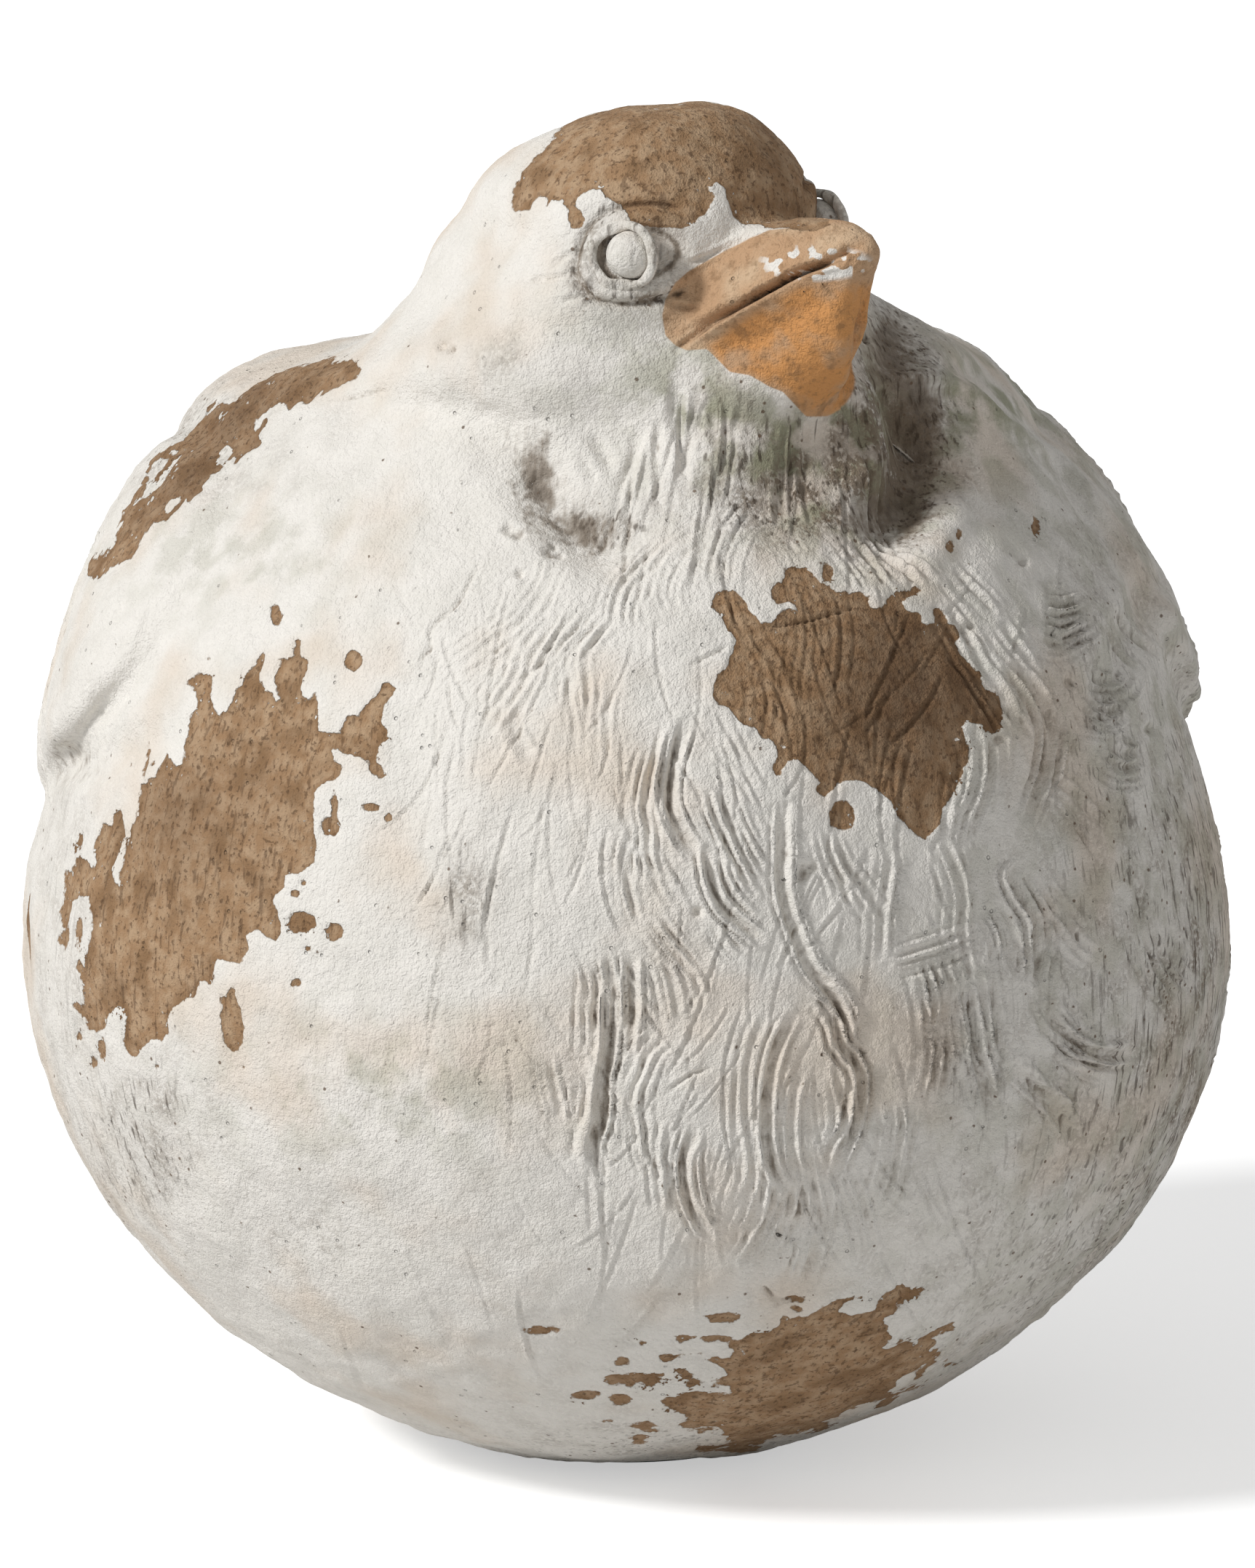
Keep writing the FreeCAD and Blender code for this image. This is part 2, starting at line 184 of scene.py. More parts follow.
# %% Ground
ground_half, ground_grey, ground_glow = 30.0, 0.85, 0.5
corners = np.array([(-1, -1, 0), (1, -1, 0), (1, 1, 0), (-1, 1, 0)]) * ground_half
ground_mesh = make_mesh("ground", corners, np.array([(0, 1, 2), (0, 2, 3)]))
ground = bpy.data.objects.new("ground", ground_mesh)
scene.collection.objects.link(ground)
ground_finish = bpy.data.materials.new("ground")
ground_finish.use_nodes = True
ground_tree = ground_finish.node_tree
ground_shader = ground_tree.nodes["Principled BSDF"]
ground_shader.inputs["Base Color"].default_value = (ground_grey, ground_grey, ground_grey, 1)
ground_shader.inputs["Roughness"].default_value = 1.0
ground_shader.inputs["Specular IOR Level"].default_value = 0.0
ground_shader.inputs["Emission Color"].default_value = (1, 1, 1, 1)
ground_ray = ground_tree.nodes.new("ShaderNodeLightPath")
glow = ground_tree.nodes.new("ShaderNodeMath")
glow.operation = "MULTIPLY"
glow.inputs[1].default_value = ground_glow
ground_tree.links.new(ground_ray.outputs["Is Camera Ray"], glow.inputs[0])
ground_tree.links.new(glow.outputs[0], ground_shader.inputs["Emission Strength"])
ground_mesh.materials.append(ground_finish)
print("ground is", 2 * ground_half, "m wide")

# %% [markdown]
# ## Work on a mesh as arrays
# The skin is worked as an array of points and an array of triangles. Smoothing pulls each point toward its
# neighbours and then pushes it back a little further, which keeps the volume. Refining halves the chosen
# edges and splits each triangle to match, so the mesh stays closed.

# %% Mesh helpers
def mesh_arrays(mesh):
    """Points and triangles of a mesh."""
    points = np.empty(3 * len(mesh.vertices), dtype=np.float32)
    mesh.vertices.foreach_get("co", points)
    mesh.calc_loop_triangles()
    faces = np.empty(3 * len(mesh.loop_triangles), dtype=np.int32)
    mesh.loop_triangles.foreach_get("vertices", faces)
    return points.reshape(-1, 3).astype(float), faces.reshape(-1, 3)


def edges_of(faces):
    """Each edge once, and for each triangle the numbers of its three edges."""
    pairs = np.sort(faces[:, [0, 1, 1, 2, 2, 0]].reshape(-1, 2), axis=1)
    keys = pairs[:, 0].astype(np.int64) << 32 | pairs[:, 1]
    unique, place = np.unique(keys, return_inverse=True)
    return np.column_stack((unique >> 32, unique & 0xFFFFFFFF)).astype(np.int64), place.reshape(-1, 3)


def neighbours_mean(values, edges):
    """The mean of the neighbours' values at each point, column by column."""
    a, b = edges.T
    count = np.maximum(np.bincount(edges.ravel(), minlength=len(values)), 1)[:, None]
    total = np.column_stack([np.bincount(a, column[b], len(values)) + np.bincount(b, column[a], len(values))
                             for column in values.T])
    return total / count


def smooth(values, edges, rounds):
    """Even out places or other values on a surface without shrinking it."""
    for _ in range(rounds):
        for share in (0.5, -0.52):
            values = values + share * (neighbours_mean(values, edges) - values)
    return values


def melt(points, edges, place, reach, rounds):
    """Smooth the skin near a place, without any care to keep its volume."""
    share = np.exp(-(np.linalg.norm(points - place, axis=1) / reach) ** 4)[:, None]
    for _ in range(rounds):
        points = points + 0.5 * share * (neighbours_mean(points, edges) - points)
    return points


def normals_of(points, faces):
    """Outward direction at each point."""
    across = np.cross(points[faces[:, 1]] - points[faces[:, 0]], points[faces[:, 2]] - points[faces[:, 0]])
    total = np.column_stack([sum(np.bincount(faces[:, c], across[:, k], len(points)) for c in range(3))
                             for k in range(3)])
    return total / np.maximum(np.linalg.norm(total, axis=1, keepdims=True), 1e-12)


def refine(points, faces, owner, split):
    """Halve the chosen edges, so that each triangle becomes two, three or four."""
    edges, sides = edges_of(faces)
    length = np.linalg.norm(points[edges[:, 0]] - points[edges[:, 1]], axis=1)
    chosen = split(points[edges].mean(axis=1), length)
    middle = np.full(len(edges), -1)
    middle[chosen] = len(points) + np.arange(chosen.sum())
    points = np.concatenate((points, points[edges[chosen]].mean(axis=1)))
    mid = middle[sides]
    marks = (mid >= 0).sum(axis=1)
    parts, owners = [faces[marks == 0]], [owner[marks == 0]]
    four = marks == 3
    a, b, c = faces[four].T
    ab, bc, ca = mid[four].T
    parts += [np.column_stack(t) for t in ((a, ab, ca), (ab, b, bc), (ca, bc, c), (ab, bc, ca))]
    owners += [owner[four]] * 4
    for turn in range(3):
        order = [turn, (turn + 1) % 3, (turn + 2) % 3]
        one = (marks == 1) & (mid[:, turn] >= 0)
        a, b, c = faces[one][:, order].T
        m = mid[one, turn]
        parts += [np.column_stack((a, m, c)), np.column_stack((m, b, c))]
        owners += [owner[one]] * 2
        two = (marks == 2) & (mid[:, order[2]] < 0)
        a, b, c = faces[two][:, order].T
        m, n = mid[two, order[0]], mid[two, order[1]]
        parts += [np.column_stack((a, m, c)), np.column_stack((m, n, c)), np.column_stack((m, b, n))]
        owners += [owner[two]] * 3
    return points, np.concatenate(parts), np.concatenate(owners)


print("mesh helpers ready")

# %% [markdown]
# ## One skin over all the castings
# The castings meet at fine seams that the soft coat bridged. So the castings are joined and recast as one
# closed skin on a voxel grid. The grid leaves steps and an inner wall. The inner wall is dropped, and the
# smoothing takes the steps away.

# %% Recast the castings as one skin
recast_step, recast_rounds = 2.2 * mm, 9
skin_nodes = ["breast_shell", "back_shell", "head_shell", "left_wing", "right_wing", "tail", "upper_beak",
              "lower_beak", "base_plug", "left_eyeball", "right_eyeball"]
parts, part_faces, part_owner, start = [], [], [], 0
for number, name in enumerate(skin_nodes):
    own_points, own_faces = mesh_arrays(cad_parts[name].data)
    parts.append(own_points)
    part_faces.append(own_faces + start)
    part_owner.append(np.full(len(own_faces), number))
    start += len(own_points)
parts, part_faces, part_owner = map(np.concatenate, (parts, part_faces, part_owner))
casting_tree = BVHTree.FromPolygons(parts.tolist(), part_faces.tolist())
joined = bpy.data.objects.new("joined", make_mesh("joined", parts, part_faces))
scene.collection.objects.link(joined)
recast = joined.modifiers.new("recast", "REMESH")
recast.mode = "VOXEL"
recast.voxel_size = recast_step
recast_mesh = bpy.data.meshes.new_from_object(joined.evaluated_get(bpy.context.evaluated_depsgraph_get()))
points, faces = mesh_arrays(recast_mesh)
bpy.data.objects.remove(joined)

# Points that are joined by edges end with the same label
edges = edges_of(faces)[0]
label, settled = np.arange(len(points)), False
while not settled:
    low = np.minimum(label[edges[:, 0]], label[edges[:, 1]])
    spread = label.copy()
    np.minimum.at(spread, edges[:, 0], low)
    np.minimum.at(spread, edges[:, 1], low)
    spread = spread[spread]
    settled = (spread == label).all()
    label = spread
faces = faces[label[faces[:, 0]] == label[points[:, 2].argmax()]]
used, faces = np.unique(faces, return_inverse=True)
points, faces = points[used], faces.reshape(-1, 3)
edges = edges_of(faces)[0]
points = smooth(points, edges, recast_rounds)
print("skin", len(points), "points", len(faces), "triangles")

# %% [markdown]
# ## Soft joins
# The chin and the root of the beak flow into the face without a step, and so do the folds beside the neck
# and the rims of the eye sockets. Each triangle then learns which casting it covers, by the nearest one.

# %% Soft joins and owners
chin, cheek_corner = np.array((30, -108, 300)) * mm, np.array((0, -95, 318)) * mm
points = melt(points, edges, chin, 17 * mm, 70)
points = melt(points, edges, cheek_corner, 10 * mm, 20)
fold_places = [(745, 668, 15, 30), (800, 725, 13, 20), (1250, 600, 16, 25), (1240, 700, 14, 20)]
for x, y, reach, rounds in fold_places:
    place = casting_tree.ray_cast(Vector(eye_point), sight_line(x, y))[0]
    points = melt(points, edges, np.array(place), reach * mm, rounds)
for name in ("left_eyeball", "right_eyeball"):
    ball_low, ball_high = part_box(name)
    points = melt(points, edges, (np.array(ball_low) + np.array(ball_high)) / 2, 14 * mm, 45)
owner = np.array([part_owner[casting_tree.find_nearest(centre)[2]] for centre in points[faces].mean(axis=1)])
print("triangles on each casting", np.bincount(owner).tolist())

# %% [markdown]
# ## Where the coat has worn away
# The tan plaster shows in four large ragged patches and many small ones. Their edges were traced in enlarged
# views of the picture. Each view has its own origin and scale, and its points are in that view's own
# coordinates. Small round places are a centre with the reach across and down.

# %% Worn patches
crown_view, flank_view, chest_view = (576, 116, 2.2), (0, 760, 2.063), (920, 740, 3.136)
bottom_view, whole_view = (700, 1720, 2.412), (0, 0, 1)
breast_view, right_view, belly_view = (780, 660, 3.484), (1180, 680, 3.267), (760, 1000, 3.267)
low_right_view, low_view, left_view = (1180, 1120, 3.075), (740, 1380, 3.015), (480, 700, 3.41)

crown_patch = [
    (330, 250), (300, 290), (287, 330), (288, 380), (310, 385), (335, 380), (345, 355), (365, 333),
    (385, 340), (385, 375), (400, 350), (430, 350), (450, 370), (455, 410), (465, 435), (490, 435),
    (500, 410), (490, 385), (470, 365), (480, 340), (520, 318), (550, 315), (575, 345), (605, 360),
    (625, 385), (635, 415), (680, 430), (760, 435), (800, 435), (830, 420), (870, 390), (890, 340),
    (870, 310), (900, 300), (920, 315), (935, 360), (945, 400), (975, 425), (1010, 430), (1060, 440),
    (1190, 445), (1240, 430), (1240, 100), (900, 20), (500, 60)]

flank_patch = [
    (525, 372), (535, 352), (570, 340), (600, 342), (603, 375), (598, 415), (610, 440), (625, 465),
    (650, 450), (660, 415), (685, 375), (700, 345), (715, 330), (725, 300), (745, 280), (750, 310),
    (737, 345), (735, 365), (760, 395), (785, 425), (792, 410), (780, 375), (776, 340), (790, 310),
    (778, 303), (815, 300), (835, 290), (830, 250), (850, 232), (850, 265), (847, 290), (875, 300),
    (872, 325), (855, 360), (850, 385), (855, 410), (880, 415), (895, 397), (902, 430), (905, 470),
    (903, 505), (940, 512), (965, 510), (975, 480), (990, 465), (1015, 465), (1040, 430), (1070, 405),
    (1085, 375), (1105, 367), (1125, 385), (1110, 408), (1090, 430), (1085, 480), (1100, 500), (1095, 530),
    (1075, 545), (1070, 590), (1095, 630), (1080, 640), (1050, 625), (1045, 590), (1020, 580), (985, 575),
    (960, 555), (942, 560), (945, 590), (970, 605), (965, 630), (945, 650), (915, 655), (895, 680),
    (890, 720), (890, 780), (900, 830), (890, 880), (860, 905), (810, 915), (805, 950), (775, 985),
    (785, 1015), (800, 1050), (795, 1080), (785, 1105), (760, 1085), (730, 1070), (705, 1085), (710, 1120),
    (690, 1160), (660, 1162), (620, 1155), (612, 1190), (600, 1225), (570, 1215), (555, 1255), (520, 1275),
    (490, 1290), (475, 1330), (480, 1365), (465, 1385), (435, 1380), (410, 1405), (400, 1425), (375, 1430),
    (357, 1410), (353, 1370), (363, 1320), (355, 1290), (330, 1290), (310, 1320), (300, 1350), (275, 1362),
    (250, 1350), (230, 1310), (212, 1285), (215, 1270), (235, 1290), (240, 1250), (230, 1190), (215, 1175),
    (230, 1155), (245, 1175), (262, 1100), (270, 1060), (262, 1000), (250, 975), (225, 975), (205, 990),
    (198, 1030), (200, 1100), (190, 1135), (170, 1095), (185, 1070), (168, 1020), (178, 960), (175, 920),
    (180, 900), (200, 905), (220, 865), (245, 870), (265, 895), (275, 880), (270, 815), (295, 770),
    (315, 775), (325, 740), (345, 730), (350, 760), (355, 800), (330, 860), (315, 900), (330, 940),
    (345, 950), (340, 900), (350, 840), (385, 765), (390, 730), (400, 660), (420, 650), (445, 635),
    (460, 610), (470, 570), (490, 590), (500, 605), (520, 600), (530, 570), (535, 500), (540, 465),
    (558, 440), (560, 395), (545, 385)]

flank_blob = [
    (620, 1255), (650, 1260), (668, 1228), (675, 1265), (685, 1310), (697, 1350), (685, 1400), (665, 1420),
    (640, 1395), (630, 1340), (635, 1290)]

flank_spots = [
    (776, 172, 16, 28), (1003, 307, 28, 27), (590, 298, 7, 7), (413, 593, 6, 45), (437, 597, 8, 8),
    (356, 602, 7, 7), (222, 815, 10, 22), (937, 778, 28, 28), (950, 715, 9, 50), (1050, 722, 25, 12),
    (1097, 752, 10, 10), (862, 935, 9, 9), (836, 967, 14, 10), (855, 1048, 42, 32), (950, 1075, 25, 25),
    (872, 1123, 8, 8), (842, 1220, 12, 12), (225, 1372, 8, 12), (290, 1410, 14, 35), (265, 1448, 8, 14),
    (452, 1455, 6, 6), (690, 1458, 7, 7), (232, 1080, 10, 40)]

chest_patch = [
    (183, 270), (205, 238), (240, 226), (290, 232), (330, 280), (360, 325), (385, 350), (395, 365),
    (440, 365), (455, 350), (480, 320), (520, 305), (555, 320), (545, 290), (515, 275), (490, 280),
    (465, 285), (445, 260), (438, 225), (450, 200), (480, 190), (497, 160), (497, 135), (540, 128),
    (590, 128), (620, 165), (650, 205), (690, 212), (720, 235), (760, 238), (820, 232), (855, 255),
    (865, 290), (885, 305), (920, 300), (925, 270), (950, 245), (990, 235), (1030, 225), (1050, 210),
    (1085, 220), (1085, 240), (1050, 250), (1020, 260), (1000, 285), (1010, 310), (1040, 330), (1065, 330),
    (1085, 360), (1110, 380), (1140, 370), (1145, 345), (1130, 320), (1130, 300), (1150, 292), (1175, 310),
    (1190, 340), (1200, 370), (1240, 385), (1255, 410), (1250, 450), (1265, 500), (1300, 550), (1330, 580),
    (1355, 640), (1400, 660), (1430, 700), (1437, 760), (1430, 810), (1410, 840), (1375, 840), (1350, 800),
    (1320, 795), (1290, 790), (1270, 810), (1275, 850), (1300, 890), (1295, 950), (1270, 1010),
    (1250, 1070), (1220, 1120), (1190, 1180), (1160, 1240), (1115, 1300), (1070, 1280), (1030, 1240),
    (990, 1200), (965, 1140), (940, 1110), (900, 1075), (860, 1055), (810, 1037), (770, 1040), (740, 1055),
    (715, 1080), (690, 1105), (690, 1130), (660, 1110), (640, 1080), (655, 1055), (630, 1020), (600, 1000),
    (550, 960), (510, 960), (490, 985), (480, 1030), (455, 1025), (440, 990), (470, 950), (470, 910),
    (450, 880), (430, 860), (405, 860), (370, 820), (310, 800), (280, 760), (245, 730), (210, 715),
    (190, 680), (190, 640), (210, 590), (240, 560), (265, 500), (270, 470), (285, 440), (270, 410),
    (235, 370), (215, 320), (185, 295)]

chest_spots = [(678, 152, 25, 38), (757, 1195, 58, 70)]

bottom_patch = [
    (502, 358), (560, 352), (610, 345), (640, 340), (665, 365), (700, 355), (730, 350), (718, 320),
    (735, 300), (785, 285), (800, 265), (850, 255), (885, 240), (895, 210), (915, 205), (930, 220),
    (985, 210), (1030, 190), (1070, 165), (1120, 150), (1175, 145), (1170, 165), (1110, 180), (1100, 195),
    (1130, 210), (1175, 208), (1210, 195), (1225, 160), (1260, 135), (1300, 115), (1340, 130), (1395, 128),
    (1360, 160), (1300, 180), (1260, 210), (1240, 240), (1260, 280), (1255, 310), (1300, 300), (1350, 295),
    (1380, 265), (1430, 240), (1480, 232), (1470, 260), (1420, 290), (1400, 320), (1445, 320), (1435, 350),
    (1380, 385), (1310, 420), (1270, 465), (1330, 450), (1390, 435), (1385, 460), (1300, 480), (1260, 500),
    (1180, 500), (1130, 530), (1090, 560), (1030, 590), (960, 600), (900, 615), (840, 645), (780, 668),
    (700, 672), (620, 668), (615, 650), (680, 640), (730, 630), (650, 620), (700, 600), (640, 600),
    (580, 600), (560, 580), (590, 560), (540, 535), (510, 515), (510, 495), (545, 480), (600, 470),
    (660, 470), (720, 465), (700, 460), (640, 455), (600, 455), (555, 425), (548, 400), (570, 390),
    (600, 400), (630, 430), (660, 435), (715, 415), (690, 400), (660, 400), (655, 375), (620, 365),
    (575, 370), (520, 370)]

bottom_spots = [
    (105, 268, 60, 15), (718, 217, 42, 14), (655, 212, 20, 4), (580, 290, 35, 12), (435, 315, 30, 12),
    (385, 370, 30, 15), (410, 430, 100, 22), (250, 480, 38, 15), (368, 495, 33, 14), (445, 577, 35, 10),
    (430, 622, 40, 12), (850, 213, 14, 6), (335, 560, 15, 6), (950, 190, 15, 7), (1460, 378, 18, 8),
    (935, 153, 35, 8), (690, 294, 65, 9), (480, 600, 15, 5)]

# The shoulder's brown band and the wing's spots, in picture coordinates
shoulder_band = [
    (478, 490), (430, 492), (378, 510), (330, 540), (279, 584), (240, 620), (209, 654), (175, 700),
    (149, 738), (124, 788), (140, 800), (175, 765), (205, 720), (240, 700), (289, 664), (299, 639),
    (348, 614), (363, 569), (400, 560), (440, 540), (485, 525), (505, 505)]
corner_x, corner_y, scale = right_view
wing_spots = [(corner_x + x / scale, corner_y + y / scale, across, down)
              for x, y, across, down in ((790, 148, 5, 12), (440, 190, 4, 7), (400, 242, 6, 7))]

# Patches on the sides that the picture doesn't show, chosen freely, in the coordinates of a turned view
left_patch = [
    (900, 1250), (960, 1180), (1010, 1210), (1060, 1160), (1130, 1190), (1150, 1270), (1210, 1310),
    (1190, 1390), (1120, 1410), (1090, 1480), (1010, 1460), (990, 1520), (930, 1470), (940, 1390),
    (880, 1350)]
back_patch = [
    (600, 900), (660, 850), (740, 880), (800, 840), (850, 900), (840, 980), (900, 1030), (880, 1110),
    (800, 1120), (770, 1190), (690, 1170), (640, 1100), (660, 1030), (590, 990)]
nape_patch = [(780, 250), (850, 220), (930, 250), (950, 320), (900, 370), (830, 350), (790, 310)]
right_patch = [
    (1010, 1330), (1080, 1290), (1160, 1320), (1190, 1400), (1150, 1470), (1080, 1450), (1040, 1500),
    (980, 1440)]
front_patches = ((crown_view, crown_patch), (flank_view, flank_patch), (flank_view, flank_blob),
                 (chest_view, chest_patch), (bottom_view, bottom_patch), (whole_view, shoulder_band))
front_spots = ((flank_view, flank_spots), (chest_view, chest_spots), (bottom_view, bottom_spots),
               (whole_view, wing_spots))
unseen_patches = (("left", left_patch), ("back", back_patch), ("back", nape_patch), ("right", right_patch))
print("patches", len(front_patches) + len(unseen_patches))

# %% [markdown]
# ## Relief sheets
# A relief sheet is a grid laid over the picture. Grooves, mounds and patch edges are drawn on it in
# millimetres, and every point of the skin then reads the sheet where it lies in the picture. Three more
# sheets look at the bird from its other sides, so that the back and the flanks are worked over in the same
# way.

# %% Relief sheets
sheet_step, far_outside = 2, -20.0
pixel = 1000 * camera_distance / focal_pixels
sheet_size = (picture_height // sheet_step, picture_width // sheet_step + 1)
side_turns = {"front": 0, "left": 90, "back": 180, "right": 270}
relief = {name: np.zeros(sheet_size) for name in side_turns}
bare = {name: np.full(sheet_size, far_outside) for name in side_turns}
front = relief["front"]
random = np.random.default_rng(7)


def from_view(view, places):
    """Picture coordinates of places given in an enlarged view."""
    x, y, scale = view
    return np.asarray(places, dtype=float) / scale + (x, y)


def curve_through(places, step=3.0):
    """Evenly close places on a smooth curve through the given ones."""
    places = np.asarray(places, dtype=float)
    ends = np.concatenate((2 * places[:1] - places[1:2], places, 2 * places[-1:] - places[-2:-1]))
    run = []
    for a, b, c, d in zip(ends, ends[1:], ends[2:], ends[3:]):
        count = max(int(np.linalg.norm(c - b) / step), 1)
        t = np.linspace(0, 1, count, endpoint=False)[:, None]
        bend, twist = 2 * a - 5 * b + 4 * c - d, 3 * b - a - 3 * c + d
        run.append(0.5 * (2 * b + (c - a) * t + bend * t**2 + twist * t**3))
    return np.concatenate(run + [places[-1:]])


def window(low, high):
    """The part of a sheet between two corners, with the picture coordinates of its cells."""
    x0, y0 = np.maximum(np.floor(np.asarray(low) / sheet_step).astype(int), 0)
    x1, y1 = np.ceil(np.asarray(high) / sheet_step).astype(int)
    x1, y1 = max(min(x1, sheet_size[1]), x0), max(min(y1, sheet_size[0]), y0)
    grid = np.stack(np.meshgrid(np.arange(x0, x1), np.arange(y0, y1)), axis=-1) * float(sheet_step)
    return (slice(y0, y1), slice(x0, x1)), grid


def groove(sheet, places, width, depth, rim=0.35, side=0.0):
    """Draw a groove of the given half width and depth in mm, tapered at both ends, with a raised rim."""
    run = curve_through(places)
    half = width / pixel
    part, grid = window(run.min(axis=0) - 4 * half, run.max(axis=0) + 4 * half)
    if grid.size == 0:
        return
    flat = grid.reshape(-1, 2)
    offset = flat[:, None, :] - run[None, :, :]
    distance = np.hypot(offset[..., 0], offset[..., 1])
    nearest = distance.argmin(axis=1)
    rows = np.arange(len(flat))
    away = distance[rows, nearest] / half
    along = nearest / max(len(run) - 1, 1)
    strength = np.clip(np.minimum(along, 1 - along) * 5 + 0.12, 0, 1) ** 0.7
    tangent = np.gradient(run, axis=0)[nearest]
    turn = np.sign(tangent[:, 0] * offset[rows, nearest, 1] - tangent[:, 1] * offset[rows, nearest, 0])
    edge = rim * (1 + side * turn)
    shape = -np.exp(-away**2.4) + edge * np.exp(-((away - 1.75) / 0.6) ** 2)
    sheet[part] += (depth * strength * shape).reshape(grid.shape[:2])


def mound(sheet, place, reach, height, power=2.0):
    """Raise, or with a negative height press in, a soft round place."""
    reach = np.broadcast_to(np.asarray(reach, dtype=float), 2)
    part, grid = window(place - 2.2 * reach, place + 2.2 * reach)
    away = np.hypot(*np.moveaxis((grid - place) / reach, -1, 0))
    sheet[part] += height * np.exp(-away**power)


def sweep(sheet, start, heading, bend, length, width, depth):
    """One long mark that bends evenly as it goes."""
    places = [np.array(start, dtype=float)]
    for _ in range(6):
        heading += bend / 6
        places.append(places[-1] + length / 6 * np.array((math.cos(heading), math.sin(heading))))
    groove(sheet, places, width, depth, rim=0.45, side=0.7)


def beside(places, distance):
    """The same mark again, to one side by a distance in mm."""
    ways = np.gradient(places, axis=0)
    return places + unit(np.column_stack((-ways[:, 1], ways[:, 0]))) * distance / pixel


def read_sheet(sheet, places):
    """Values of a sheet at places in the picture."""
    grid = np.clip(places / sheet_step, 0, np.array(sheet_size[::-1]) - 1.001)
    x, y = np.floor(grid).astype(int).T
    u, v = (grid - np.floor(grid)).T
    return ((sheet[y, x] * (1 - u) + sheet[y, x + 1] * u) * (1 - v)
            + (sheet[y + 1, x] * (1 - u) + sheet[y + 1, x + 1] * u) * v)


print("sheets of", sheet_size, "cells,", round(pixel * sheet_step, 2), "mm each")

# %% [markdown]
# ## Wear on the sheets
# Each sheet of wear keeps the distance to the nearest edge of a patch. That is more than a plain mask,
# because the finish can then fray the edge and stain a band beside it.

# %% Wear on the sheets
def outline_distance(grid, outline):
    """Distance in pixels to a closed outline, positive inside."""
    flat = grid.reshape(-1, 2)
    nearest = np.full(len(flat), 1e9)
    inside = np.zeros(len(flat), dtype=bool)
    for a, b in zip(outline, np.roll(outline, -1, axis=0)):
        side = b - a
        share = np.clip((flat - a) @ side / max(side @ side, 1e-9), 0, 1)
        nearest = np.minimum(nearest, np.hypot(*(flat - a - share[:, None] * side).T))
        if a[1] != b[1]:
            crosses = (flat[:, 1] < a[1]) != (flat[:, 1] < b[1])
            inside ^= crosses & (flat[:, 0] < a[0] + (flat[:, 1] - a[1]) * side[0] / side[1])
    return np.where(inside, nearest, -nearest).reshape(grid.shape[:2])


def wear(sheet, outline, margin=70):
    """Draw a worn patch: distance in mm to its edge, positive inside."""
    outline = np.asarray(outline, dtype=float)
    part, grid = window(outline.min(axis=0) - margin, outline.max(axis=0) + margin)
    sheet[part] = np.maximum(sheet[part], outline_distance(grid, outline) * pixel)


def wear_spots(sheet, view, spots):
    """Draw small round worn places."""
    for x, y, across, down in spots:
        place = from_view(view, (x, y))
        reach = np.array((across, down)) / view[2]
        part, grid = window(place - 2 * reach - 20, place + 2 * reach + 20)
        away = np.hypot(*np.moveaxis((grid - place) / reach, -1, 0))
        sheet[part] = np.maximum(sheet[part], (1 - away) * reach.min() * pixel)


for view, outline in front_patches:
    wear(bare["front"], from_view(view, outline))
for view, spots in front_spots:
    wear_spots(bare["front"], view, spots)
for side, outline in unseen_patches:
    wear(bare[side], outline)
print("worn share of the front sheet", round(float((bare["front"] > 0).mean()), 3))
